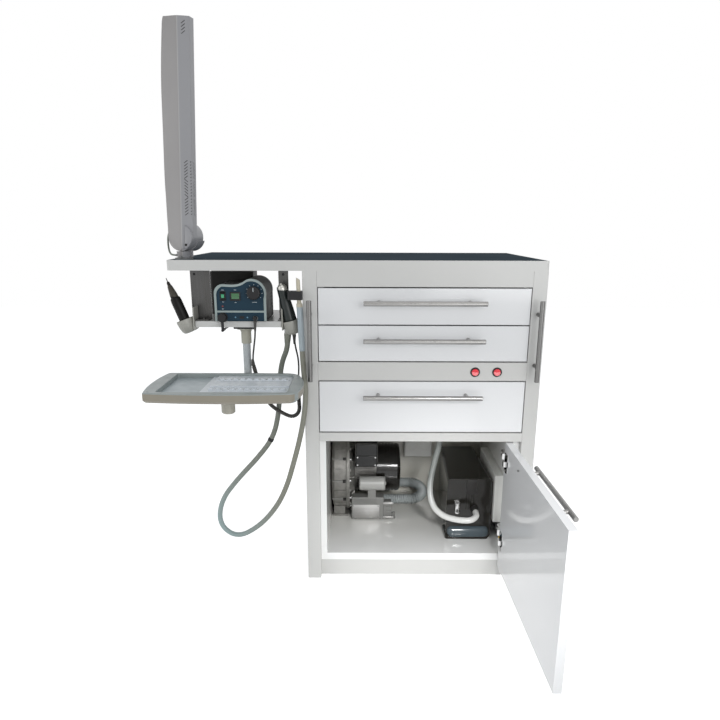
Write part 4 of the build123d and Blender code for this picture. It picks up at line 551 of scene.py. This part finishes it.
hose("white_line", "white_hose", "cabinet_body", "white_hose", WHITE, 17, finish["white_hose"], 433,
     far_end="object", stiffness="stiff", lay="hanging")
hose("power_lead", "power_cable", "cabinet_body", "black_plastic", POWER, 4.5, finish["cable"], 95,
     far_end="object", stiffness="medium", lay="hanging")
hose("motor_lead", "motor_cable", "cabinet_body", "cable_grey", MOTOR, 4.5, finish["cable"], 122,
     far_end="object", stiffness="medium", lay="hanging")
hose("handpiece_lead", "handpiece_cable", "cabinet_body", "cable_grey", LEAD, 4.5, finish["cable"], 145,
     far_end="object", stiffness="medium", lay="hanging")
hose("lamp_lead", "lamp_cable", "lamp_yoke_body", "cable_grey", LAMP_LEAD, 4.5, finish["lamp_cable"], 95,
     far_end="object", stiffness="medium", lay="hanging")


def frames_along(points):
    """A direction and two cross directions at each point, carried along without twist."""
    out = []
    side = None
    for k, spot in enumerate(points):
        ahead = (points[min(k + 1, len(points) - 1)] - points[max(k - 1, 0)]).normalized()
        if side is None:
            side = ahead.orthogonal().normalized()
        side = (side - ahead * side.dot(ahead)).normalized()
        out.append((spot, side.copy(), ahead.cross(side)))
    return out


def evenly(points, count):
    """The same line cut into equal steps."""
    gone = [0.0]
    for a, b in zip(points, points[1:]):
        gone.append(gone[-1] + (b - a).length)
    out, k = [], 0
    for n in range(count + 1):
        want = gone[-1] * n / count
        while k < len(gone) - 2 and gone[k + 1] < want:
            k += 1
        share = (want - gone[k]) / max(gone[k + 1] - gone[k], 1e-9)
        out.append(points[k].lerp(points[k + 1], min(max(share, 0), 1)))
    return out


def skin(name, rings, joined=False):
    """Mesh over rings of points, all with the same count: capped at its ends, or joined last to first."""
    count, total = len(rings[0]), len(rings)
    faces = []
    for r in range(total if joined else total - 1):
        here, ahead = r * count, (r + 1) % total * count
        for k in range(count):
            faces.append((here + k, here + (k + 1) % count, ahead + (k + 1) % count, ahead + k))
    if not joined:
        faces.append(tuple(reversed(range(count))))
        faces.append(tuple((total - 1) * count + k for k in range(count)))
    mesh = bpy.data.meshes.new(name)
    mesh.from_pydata([tuple(p) for ring in rings for p in ring], [], faces)
    mesh.shade_smooth()
    thing = bpy.data.objects.new(name, mesh)
    bpy.context.scene.collection.objects.link(thing)
    return thing


def circle_ring(spot, side, across, radius, count):
    """Points round a place, square to its line."""
    turns = [2 * math.pi * k / count for k in range(count)]
    return [spot + (side * math.cos(turn) + across * math.sin(turn)) * radius for turn in turns]


def curly_lead():
    """The coiled handpiece lead: a thin cable wound round its route."""
    steps, turns, ease_in = 1800, 72, 40
    wire, coil = 0.0018, 0.0055 - 0.0018
    points = evenly(followed(CURL), steps)
    spine = []
    for k, (spot, side, across) in enumerate(frames_along(points)):
        angle = 2 * math.pi * turns * k / steps
        ease = min(1.0, k / ease_in, (steps - k) / ease_in)
        spine.append(spot + (side * math.cos(angle) + across * math.sin(angle)) * coil * ease)
    spine = evenly(spine, steps)
    thing = skin("curly_lead", [circle_ring(s, u, v, wire, 8) for s, u, v in frames_along(spine)])
    thing.data.materials.append(finish["cable"])
    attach(thing, "cabinet_body")
    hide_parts("motor_curl")


def ribbed_line():
    """The exhaust hose, with a rounded rib every few millimetres and an open bore."""
    low, high, turn = at(-165, BLOWER_Y, 92), at(-36, 430, 116), 0.002
    first, last = Vector((turn, low.y, low.z)), Vector((turn, high.y, high.z))
    middle, bend = (first + last) / 2, (last - first).length / 2
    out, right = (last - first).normalized(), Vector((1, 0, 0))
    points = [low.lerp(first, k / 40) for k in range(40)]
    points += [middle + right * bend * math.sin(math.pi * k / 60) - out * bend * math.cos(math.pi * k / 60)
               for k in range(60)]
    points += [last.lerp(high, k / 16) for k in range(17)]
    ribs, sides, bore = 52, 32, 0.0131
    profile = (13.2, 13.3, 14.2, 15.9, 16.5, 16.5, 15.9, 14.2)
    points = evenly(points, ribs * len(profile))
    spots = frames_along(points)
    rings = [circle_ring(*place, profile[k % len(profile)] / 1000, sides) for k, place in enumerate(spots)]
    rings += [circle_ring(*place, bore, sides) for place in reversed(spots[::4])]
    thing = skin("ribbed_line", rings, joined=True)
    thing.data.materials.append(finish["ribbed"])
    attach(thing, "cabinet_body")
    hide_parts("ribbed_hose")


# Pieces shaped one by one
def slab(lo, hi, rim, steps=2):
    """A block between two corners in millimetres, its edges rounded."""
    bpy.ops.object.select_all(action="DESELECT")
    low, high = at(*lo), at(*hi)
    bpy.ops.mesh.primitive_cube_add(size=1, location=(low + high) / 2)
    thing = bpy.context.object
    thing.scale = high - low
    bpy.ops.object.transform_apply(location=True, rotation=True, scale=True)
    softened(thing, rim, steps)
    return thing


def softened(thing, rim, steps):
    """Rounds a piece's edges."""
    edge = thing.modifiers.new("round_edges", "BEVEL")
    edge.width, edge.segments, edge.limit_method = rim / 1000, steps, "ANGLE"
    bpy.ops.object.modifier_apply(modifier=edge.name)


def raised(foot, ahead, rings, count=24):
    """A round piece raised from its foot ring by ring: (how far on, radius) in millimetres."""
    bpy.ops.object.select_all(action="DESELECT")
    bpy.ops.mesh.primitive_circle_add(
        vertices=count, radius=rings[0][1] / 1000, fill_type="NGON", location=(0, 0, rings[0][0] / 1000))
    bpy.ops.object.transform_apply(location=True, rotation=True, scale=True)
    bpy.ops.object.mode_set(mode="EDIT")
    bpy.ops.mesh.select_all(action="SELECT")
    for (low, wide), (high, narrow) in zip(rings, rings[1:]):
        bpy.ops.mesh.extrude_region_move(TRANSFORM_OT_translate={"value": (0, 0, (high - low) / 1000)})
        bpy.ops.transform.resize(value=(narrow / wide, narrow / wide, 1), center_override=(0, 0, high / 1000))
    bpy.ops.mesh.select_all(action="SELECT")
    bpy.ops.mesh.normals_make_consistent(inside=False)
    bpy.ops.object.mode_set(mode="OBJECT")
    thing = bpy.context.object
    thing.rotation_euler = Vector(ahead).to_track_quat("Z", "Y").to_euler()
    thing.location = at(*foot)
    bpy.ops.object.transform_apply(location=True, rotation=True, scale=True)
    return thing


def ringed(foot, ahead, inner, outer, tall, rim=0.4):
    """A flat ring standing on its foot."""
    return raised(foot, ahead, [(0, inner), (0, outer), (tall - rim, outer), (tall, outer - rim),
                                (tall, inner + rim), (tall - rim, inner), (0.01, inner)])


def again(thing, turn):
    """A copy with its own mesh, put in another place."""
    new = thing.copy()
    new.data = thing.data.copy()
    bpy.context.scene.collection.objects.link(new)
    new.data.transform(turn)
    return new


def about(centre, axis, degrees):
    """A turn about a line through a place."""
    spot = at(*centre)
    turn = Matrix.Rotation(math.radians(degrees), 4, axis)
    return Matrix.Translation(spot) @ turn @ Matrix.Translation(-spot)


def settled(name, things, paint, body="cabinet_body", angle=32):
    """Joins what belongs together, smooths it, and hangs it on its body."""
    bpy.ops.object.select_all(action="DESELECT")
    for thing in things:
        thing.select_set(True)
    bpy.context.view_layer.objects.active = things[0]
    if len(things) > 1:
        bpy.ops.object.join()
    whole = bpy.context.object
    whole.name = whole.data.name = name
    bpy.ops.object.shade_smooth_by_angle(angle=math.radians(angle))
    whole.data.materials.clear()
    whole.data.materials.append(finish[paint])
    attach(whole, body)


def screw_head(foot, ahead, radius):
    """A domed head with its recess."""
    return raised(foot, ahead, [(0, radius), (0.7, radius), (1.3, radius * 0.8), (1.5, radius * 0.45),
                                (0.6, radius * 0.34)], 18)


def control_unit():
    """The small things on the control unit's face."""
    face, dial = 14.1, (-420.5, 781)
    low, high, left, right = 765.6, 779.4, -477.2, -457.8
    settled("speed_screen", [slab((left, 12.0, low), (right, 12.9, high), 0.4)], "screen")
    bars = [((-480.6, 761.2), (-454.6, 765.4)), ((-480.6, 779.2), (-454.6, 782.8)),
            ((-480.6, 765.2), (-477.4, 779.4)), ((-457.8, 765.2), (-454.6, 779.4))]
    settled("screen_frame", [slab((x0, 11.4, z0), (x1, 13.6, z1), 0.8) for (x0, z0), (x1, z1) in bars],
            "black")
    settled("rocker_window", [slab((-502.2, 10.2, 768.4), (-494.8, 12.0, 777.2), 0.5)],
            "green", "unit_rocker_body")
    light = raised((-500, 13.9, 747.5), OUTWARD, [(0, 2.6), (1.2, 2.5), (1.9, 1.9), (2.2, 1.0)])
    settled("running_light", [light], "dim_red")
    dot = raised((dial[0], face, dial[1]), OUTWARD, [(0, 0.95), (0.45, 0.9), (0.6, 0.6)], 12)
    dots, reach = [], 0.0195
    for k in range(9):
        turn = math.radians(-126 + 31.5 * k)
        dots.append(again(dot, Matrix.Translation((reach * math.sin(turn), 0, reach * math.cos(turn)))))
    bpy.data.objects.remove(dot)
    settled("dial_dots", dots, "dots")
    rib = slab((-421.6, -1.4, 795.6), (-419.4, 9.0, 798.2), 0.6)
    ribs = [rib] + [again(rib, about((dial[0], 0, dial[1]), "Y", 22.5 * k)) for k in range(1, 16)]
    cap = raised((dial[0], -1.6, dial[1]), OUTWARD, [(0, 11.6), (0.5, 11.2), (0.5, 7.6), (-0.4, 7.0)], 32)
    settled("dial_grip", ribs + [cap], "black", "unit_knob_body")
    settled("dial_mark", [slab((-421.2, -2.6, 784.5), (-419.8, -1.5, 794.0), 0.3)],
            "dots", "unit_knob_body")
    settled("panel_dots", [raised((x, face, z), OUTWARD, [(0, 2.0), (0.4, 1.9), (0.6, 1.5)], 20)
                           for x, z in ((-469.5, 720.5), (-439.8, 720))], "sky_dots")
    settled("jack_collar", [ringed((-420, face, 718), OUTWARD, 4.4, 6.6, 1.8)], "lamp_metal")
    settled("plug_ring", [ringed((-501, face, 720), OUTWARD, 9.2, 12.2, 1.6)], "black")
    marks = [(-498.5, 787.4, 7), (-498.5, 758.2, 5), (-467.5, 787.6, 6), (-467.5, 757.0, 5), (-500, 741.0, 5),
             (-420.5, 757.6, 12)]
    settled("printed_lines", [
        slab((x - wide / 2, face - 0.4, z - 0.45), (x + wide / 2, face, z + 0.45), 0.15, 1)
        for x, z, wide in marks
    ], "dots")


# The lamp's front in its own axes, level by level: height, left edge, right edge
LAMP_LEVELS = (
    (-33.2, -5, 5), (-32, -10.5, 10.5), (-29, -17.2, 17.2), (-23, -24.8, 24.8), (-14, -30.8, 30.8),
    (0, -33.8, 33.8), (55, -36.4, 33.8), (109, -38.3, 33.8), (175, -39.5, 33.8), (243, -40.3, 33.8),
    (290, -41.1, 33.8), (335, -41.3, 33.8), (400, -39.3, 33.8), (458, -35.4, 33.8), (479, -31.2, 33.8),
)
LAMP_RIGHT, RIDGE = 33.8, 6.5   # the right edge of a full level, and its ridge
# Columns of the front, as shares of its width, close together at the ridge and the edges
ACROSS = (0.0, 0.012, 0.05, 0.25, 0.45, 0.59, 0.62, 0.636, 0.652, 0.70, 0.85, 0.985, 1.0)


def lamp_relief(x, left, right):
    """How far the lamp's front stands out across its width: two flats that meet in a rounded ridge."""
    ridge = RIDGE * right / LAMP_RIGHT
    if x < ridge:
        out = -10.8 - 7.4 * (x - left) / (ridge - left)
    else:
        out = -11.6 - 6.6 * (right - x) / (right - ridge)
    return out + 0.35 * max(0.0, 1 - abs(x - ridge) / 2.0)


def lamp_front():
    """Pressed front of the lamp: a sheet laid over the housing, ridged off its middle."""
    bpy.ops.object.select_all(action="DESELECT")
    columns, rows = len(ACROSS) - 1, len(LAMP_LEVELS) - 1
    turned_back = {0: 2.6, 1: 0.6, columns - 1: 0.6, columns: 2.6}
    bpy.ops.mesh.primitive_grid_add(x_subdivisions=columns, y_subdivisions=rows, size=1)
    sheet = bpy.context.object
    for corner in sheet.data.vertices:
        column = round((corner.co.x + 0.5) * columns)
        level, left, right = LAMP_LEVELS[round((corner.co.y + 0.5) * rows)]
        x = left + (right - left) * ACROSS[column]
        out = lamp_relief(x, left, right) + turned_back.get(column, 0)
        corner.co = (x / 1000, out / 1000, level / 1000)
    wall = sheet.modifiers.new("wall", "SOLIDIFY")
    wall.thickness, wall.offset = 0.0014, -1.0
    bpy.ops.object.modifier_apply(modifier=wall.name)
    bpy.ops.object.mode_set(mode="EDIT")
    bpy.ops.mesh.select_all(action="SELECT")
    bpy.ops.mesh.normals_make_consistent(inside=False)
    bpy.ops.object.mode_set(mode="OBJECT")
    sheet.data.transform(lamp_place())
    settled("lamp_front", [sheet], "lamp", "lamp_head_body", 24)


def drum_cap():
    """End of the drum that stands beside the round foot of the front."""
    cap = raised((0, 242, 0), OUTWARD, [(0, 33.3), (9.6, 33.3), (11.4, 32.2), (12.4, 29.5), (12.8, 24)], 72)
    bpy.ops.object.mode_set(mode="EDIT")
    bpy.ops.mesh.select_all(action="SELECT")
    bpy.ops.mesh.bisect(plane_co=(0.0165, 0, 0), plane_no=(1, 0, 0), use_fill=True, clear_inner=True)
    bpy.ops.object.mode_set(mode="OBJECT")
    softened(cap, 1.0, 2)
    cap.data.transform(lamp_place())
    settled("lamp_drum_cap", [cap], "lamp", "lamp_head_body")


def vent(x, z, lean, wide=10.5):
    """One slanted slot on the right flat of the lamp's front, as a thin dark slab: painted shade for the
    opening.
    """
    bpy.ops.object.select_all(action="DESELECT")
    bpy.ops.mesh.primitive_cube_add(size=1)
    slit = bpy.context.object
    slit.scale = (wide / 1000, 0.0009, 0.0015)
    bpy.ops.object.transform_apply(location=True, rotation=True, scale=True)
    softened(slit, 0.35, 2)
    out = lamp_relief(x, -38, LAMP_RIGHT) + 0.1
    flat = Matrix.Rotation(math.atan2(6.6, LAMP_RIGHT - RIDGE), 4, "Z")
    slit.data.transform(Matrix.Translation((x / 1000, out / 1000, z / 1000)) @ flat @ Matrix.Rotation(
        math.radians(lean), 4, "Y"))
    slit.data.transform(lamp_place())
    return slit


def lamp_vents():
    """Three groups of slots low on the lamp and one at its top, as dark slabs of painted shade; the screw and
    socket at its foot.
    """
    pitch, lean, slits = 6.9, 38, []
    for group in range(3):
        for k in range(6):
            z = 55 + 42 * group + pitch * k
            slits.append(vent(20.0, z, lean if group == 1 else -lean))
            slits.append(vent(31.2, z, -lean, 3.4))
    slits += [vent(20.0, 446 + pitch * k, -lean) for k in range(4)]
    # painted shade: dark slabs stand for the open slots
    settled("lamp_vents", slits, "dark", "lamp_head_body")
    screw = raised((-594.7, 20.6, 866.5), OUTWARD, [(0, 3.0), (0.8, 2.8), (1.1, 1.9), (0.5, 1.2)])
    settled("lamp_drum_screw", [screw], "lamp_metal", "lamp_yoke_body")
    settled("lamp_socket", [ringed((-583.5, 24.2, 894.6), (0.2, -1, 0.1), 1.5, 3.0, 0.8)],
            "dark", "lamp_head_body")


def holder_bowls():
    """Round bowls over the two holder cups."""
    bowls = []
    for tilt, x, z in ((-21.0, -601, 712), (-13.6, -334, 710)):
        turn = math.radians(tilt)
        bowls.append(raised((x, 30, z), (math.sin(turn), 0, math.cos(turn)), [
            (-34, 9), (-33.4, 12.4), (-31, 15.8), (-26, 18.6), (-17, 20.9), (-7, 22.1), (0.4, 22.2),
            (0.9, 21.7), (0.8, 20.2), (0.1, 19.8), (-28.5, 14.4)], 48))
    settled("holder_bowls", bowls, "beige", angle=40)


def shelf_fittings():
    """Plate over the tray column's flange and the screws of the hanging plates."""
    settled("column_plate", [slab((-478, 23, 689.6), (-424, 77, 694.6), 1.5)], "black")
    places = ((-579.5, 68.0, 718.6), (-579.5, 68.0, 822), (-353.5, 68.0, 822))
    settled("hanger_screws", [screw_head(place, OUTWARD, 3.2) for place in places], "black")


def hinge_dressing():
    """Cover, screws and flange screws of the two cup hinges."""
    covers, heads, door_heads, inward = [], [], [], (-1, 0, 0)
    for z in (123.0, 347.5):
        covers.append(slab((228.5, 44, z - 8.6), (241.5, 73, z + 8.6), 2.4, 3))
        covers.append(slab((231.0, 36, z - 6.4), (238.0, 48, z + 6.4), 1.6, 2))
        heads += [screw_head((244.9, 60, z + up), inward, 4.4) for up in (-17.5, 17.5)]
        heads.append(screw_head((228.6, 66, z), inward, 3.2))
        door_heads += [screw_head((223.3, -15, z + up), inward, 3.6) for up in (-21.5, 21.5)]
    settled("hinge_covers", covers, "chrome")
    settled("hinge_screws", heads, "runner")
    settled("door_screws", door_heads, "runner", "door_body")
    settled("hinge_clip", [slab((229.5, 33.5, 104.0), (238.5, 43.0, 110.0), 1.0)], "yellow")
    settled("door_peg_hole", [ringed((224.45, -144.4, 373.5), inward, 1.2, 2.6, 0.5, 0.15)],
            "black", "door_body")


def round_blower(thing, skipped=()):
    """A piece and its copies, one every 30 degrees round the blower's axis."""
    turns = [30 * k for k in range(1, 12) if k not in skipped]
    return [thing] + [again(thing, about((0, BLOWER_Y, BLOWER_Z), "X", turn)) for turn in turns]


def machine_dressing():
    """Bolts, clips, lids and plates on the machines in the bay."""
    hidden, top = (5, 6, 7), BLOWER_Z + 127     # the lowest copies are left out
    bolt = raised((-189.2, BLOWER_Y, BLOWER_Z + 124), (1, 0, 0), [
        (0, 5.2), (1.2, 5.2), (1.2, 3.9), (5.0, 3.9), (5.6, 3.3)], 12)
    settled("flange_bolts", round_blower(bolt), "chrome")
    clip = slab((-209.5, BLOWER_Y - 4, top + 0.5), (-200.5, BLOWER_Y + 4, top + 7.5), 1.2)
    settled("casing_clips", round_blower(clip, hidden), "dark")
    lip = slab((-243.5, BLOWER_Y - 1.6, top), (-210, BLOWER_Y + 1.6, top + 4.6), 1.2)
    settled("casing_lips", round_blower(lip, hidden), "pump")

    box = slab((-173.0, 222.6, 245.6), (-105.2, 290, 319.6), 5.0, 4)
    settled("terminal_box", [box], "gloss_black")
    lid = slab((-170.5, 220.6, 248.0), (-107.5, 226, 282.0), 2.0, 3)
    settled("terminal_lid", [lid], "gloss_black")
    heads = [screw_head((x, 220.8, z), OUTWARD, 2.6) for x in (-165.5, -112.5) for z in (253, 277)]
    settled("lid_screws", heads, "chrome")

    plate = slab((-181.0, 239.0, 71.0), (-98.0, 240.3, 116.0), 0.5)
    settled("bare_plate", [plate], "plate_pale")
    heads = [screw_head((x, 239.2, z), OUTWARD, 2.2) for x in (-177, -102) for z in (75, 112)]
    settled("plate_screws", heads, "chrome")
    settled("pump_straps", [slab((-86.5, 238.4, z), (-55, 241, z + 6), 0.8) for z in (118, 72)],
            "runner")
    ends = [raised((-159.7, 248, 184), (-1, 0, 0), [(0, 21.0), (0.6, 20.6), (0.6, 15), (-0.6, 14)], 40),
            raised((-82.8, 248, 184), (1, 0, 0), [(0, 21.0), (1.2, 20.4), (1.8, 18), (1.8, 6), (4.5, 5)], 40)]
    settled("capacitor_ends", ends, "shell_white")

    stub = raised((122, 111, 148), (0, 0, 1), [
        (0, 7.5), (2, 7.9), (5, 7.9), (6, 7.4), (27, 7.4), (29, 8.4), (31.5, 8.4), (32, 7.6)], 32)
    settled("tank_stub", [stub], "chrome")
    settled("tank_plate", [slab((147.5, 116.6, 203.0), (177.5, 118.4, 247.0), 1.2),
                           slab((149.5, 115.8, 228.5), (175.5, 117.4, 244.5), 0.8)], "dark")
    # a foot slab on the tank; its bluish tone is a painted reflection
    foot = slab((95.0, 107.0, 66.4), (217.0, 165.0, 104.0), 15.0, 8)
    settled("tank_foot", [foot], "tank_foot_painted_reflection")
    settled("outlet_rings", [ringed((x, 440.2, 241), OUTWARD, 14.0, 21.5, 1.6) for x in (13, 56)],
            "white")


# Sleeves: name, foot, direction, (how far on, radius), paint, slot
SLEEVES = (
    ("suction_sleeve", (-342.5, 34, 677), (-0.07, 0.05, -1),
     ((0, 9.2), (3, 9.4), (6, 9.0), (24, 7.3), (26, 6.9)), "hose", "black_rubber"),
    ("white_sleeve", (72, 150, 411), (-0.03, -0.03, -1),
     ((0, 12.0), (3, 12.2), (6, 11.6), (22, 9.2), (24, 8.7)), "white", "white_plastic"),
    ("drain_sleeve", (172, 116, 158), OUTWARD,
     ((0, 12.0), (4, 12.2), (8, 11.6), (20, 9.3), (22, 8.8)), "dark", "gloss_tank"),
    ("motor_sleeve", (-420, 5, 712), (-0.02, 0.02, -1),
     ((0, 4.4), (4, 4.3), (6, 3.7), (24, 2.7), (25, 2.4)), "cable", "cable_grey"),
    ("handpiece_sleeve", (-326, 34, 675), (0, 0, -1),
     ((0, 5.0), (4, 4.9), (6, 4.2), (24, 2.8), (25, 2.4)), "cable", "cable_grey"),
)


def sleeves():
    """Tapered sleeves where hoses and cables leave, the coil's ends, and the band on the long hose."""
    for name, foot, ahead, rings, paint, slot in SLEEVES:
        settled(name, [raised(foot, ahead, rings)], paint)
    coil_end = ((-14, 2.5), (-12, 3.4), (2, 5.0), (4, 4.6))
    ends = [raised(CURL[0], (0.05, 0.2, -1), coil_end), raised(CURL[-1], (0.01, 0, -1), coil_end)]
    settled("coil_ends", ends, "cable")
    lamp_end = raised((-626, 86.2, 925.8), (-0.976, 0.186, 0.25), [
        (-2, 4.1), (2, 4.1), (4, 3.6), (9, 2.8), (10, 2.4)])
    settled("lamp_sleeve", [lamp_end], "lamp_cable", "lamp_yoke_body")

    # the band sits where the hose's first run, behind the tray, passes its height
    points = [p for p in followed(SUCTION) if p.x < -0.36 and p.y > -0.215]
    spot = min(points, key=lambda p: abs(p.z - 0.386))
    k = points.index(spot)
    middle = (spot.x * 1000, (spot.y - FRONT) * 1000, spot.z * 1000)
    band = raised(middle, points[k + 1] - points[k - 1], [
        (-4.6, 6.6), (-4.2, 7.5), (-3.6, 7.8), (3.6, 7.8), (4.2, 7.5), (4.6, 6.6)], 32)
    settled("hose_band", [band], "black")


# Floor and light
def studio():
    """White floor and sky for whatever looks straight at them, with softer light for the object."""
    bpy.ops.object.select_all(action="DESELECT")
    bpy.ops.mesh.primitive_plane_add(size=12, location=(0, 0, -0.0005))
    floor = bpy.context.object
    floor.name = "studio_floor"
    f = Finish("studio_floor", (0.9, 0.9, 0.9), 0.9)
    plain = Value(f, f.shader.outputs[0])
    glow = f.node("Emission", None, {"Color": (1, 1, 1, 1), "Strength": 0.62})
    lit = f.node("AddShader", None, {0: plain, 1: glow})
    seen = f.node("MixShader", None, {0: f.direct(), 1: plain, 2: lit})
    end = next(n for n in f.tree.nodes if n.type == "OUTPUT_MATERIAL")
    f.tree.links.new(seen.socket, end.inputs[0])
    floor.data.materials.append(f.material)

    world = bpy.data.worlds.new("studio_world")
    bpy.context.scene.world = world
    world.use_nodes = True
    world.node_tree.nodes.clear()
    sky = Nodes(world.node_tree)
    soft = sky.node("Background", None, {0: (0.94, 0.97, 1.0, 1), 1: 0.50})
    white = sky.node("Background", None, {0: (1, 1, 1, 1), 1: 1.0})
    sky.node("OutputWorld", None, {0: sky.node("MixShader", None, {0: sky.direct(), 1: soft, 2: white})})

    def softbox(name, place, aim, size, power):
        """A wide lamp turned to its aim."""
        lamp = bpy.data.lights.new(name, "AREA")
        lamp.shape = "RECTANGLE"
        lamp.size, lamp.size_y = size
        lamp.energy = power
        thing = bpy.data.objects.new(name, lamp)
        thing.location = place
        thing.rotation_euler = (Vector(aim) - Vector(place)).to_track_quat("-Z", "Y").to_euler()
        bpy.context.scene.collection.objects.link(thing)

    softbox("key_light", (1.1, -2.9, 1.15), (0.05, 0, 0.35), (1.8, 1.4), 28)
    softbox("fill_light", (-2.9, -1.5, 1.2), (0.1, -0.3, 0.4), (1.8, 1.8), 17)
    softbox("top_light", (0.2, 0.2, 3.2), (0, 0, 0.5), (2.0, 1.6), 10)
    low = bpy.data.lights.new("bay_light", "SPOT")
    low.energy, low.spot_size, low.spot_blend, low.shadow_soft_size = 138, math.radians(21), 0.9, 0.16
    thing = bpy.data.objects.new("bay_light", low)
    thing.location = (0.25, -2.3, 1.30)
    thing.rotation_euler = (Vector((0.04, -0.05, -0.02)) - thing.location).to_track_quat("-Z", "Y").to_euler()
    bpy.context.scene.collection.objects.link(thing)


curly_lead()
ribbed_line()
control_unit()
lamp_front()
drum_cap()
lamp_vents()
holder_bowls()
shelf_fittings()
hinge_dressing()
machine_dressing()
sleeves()
studio()
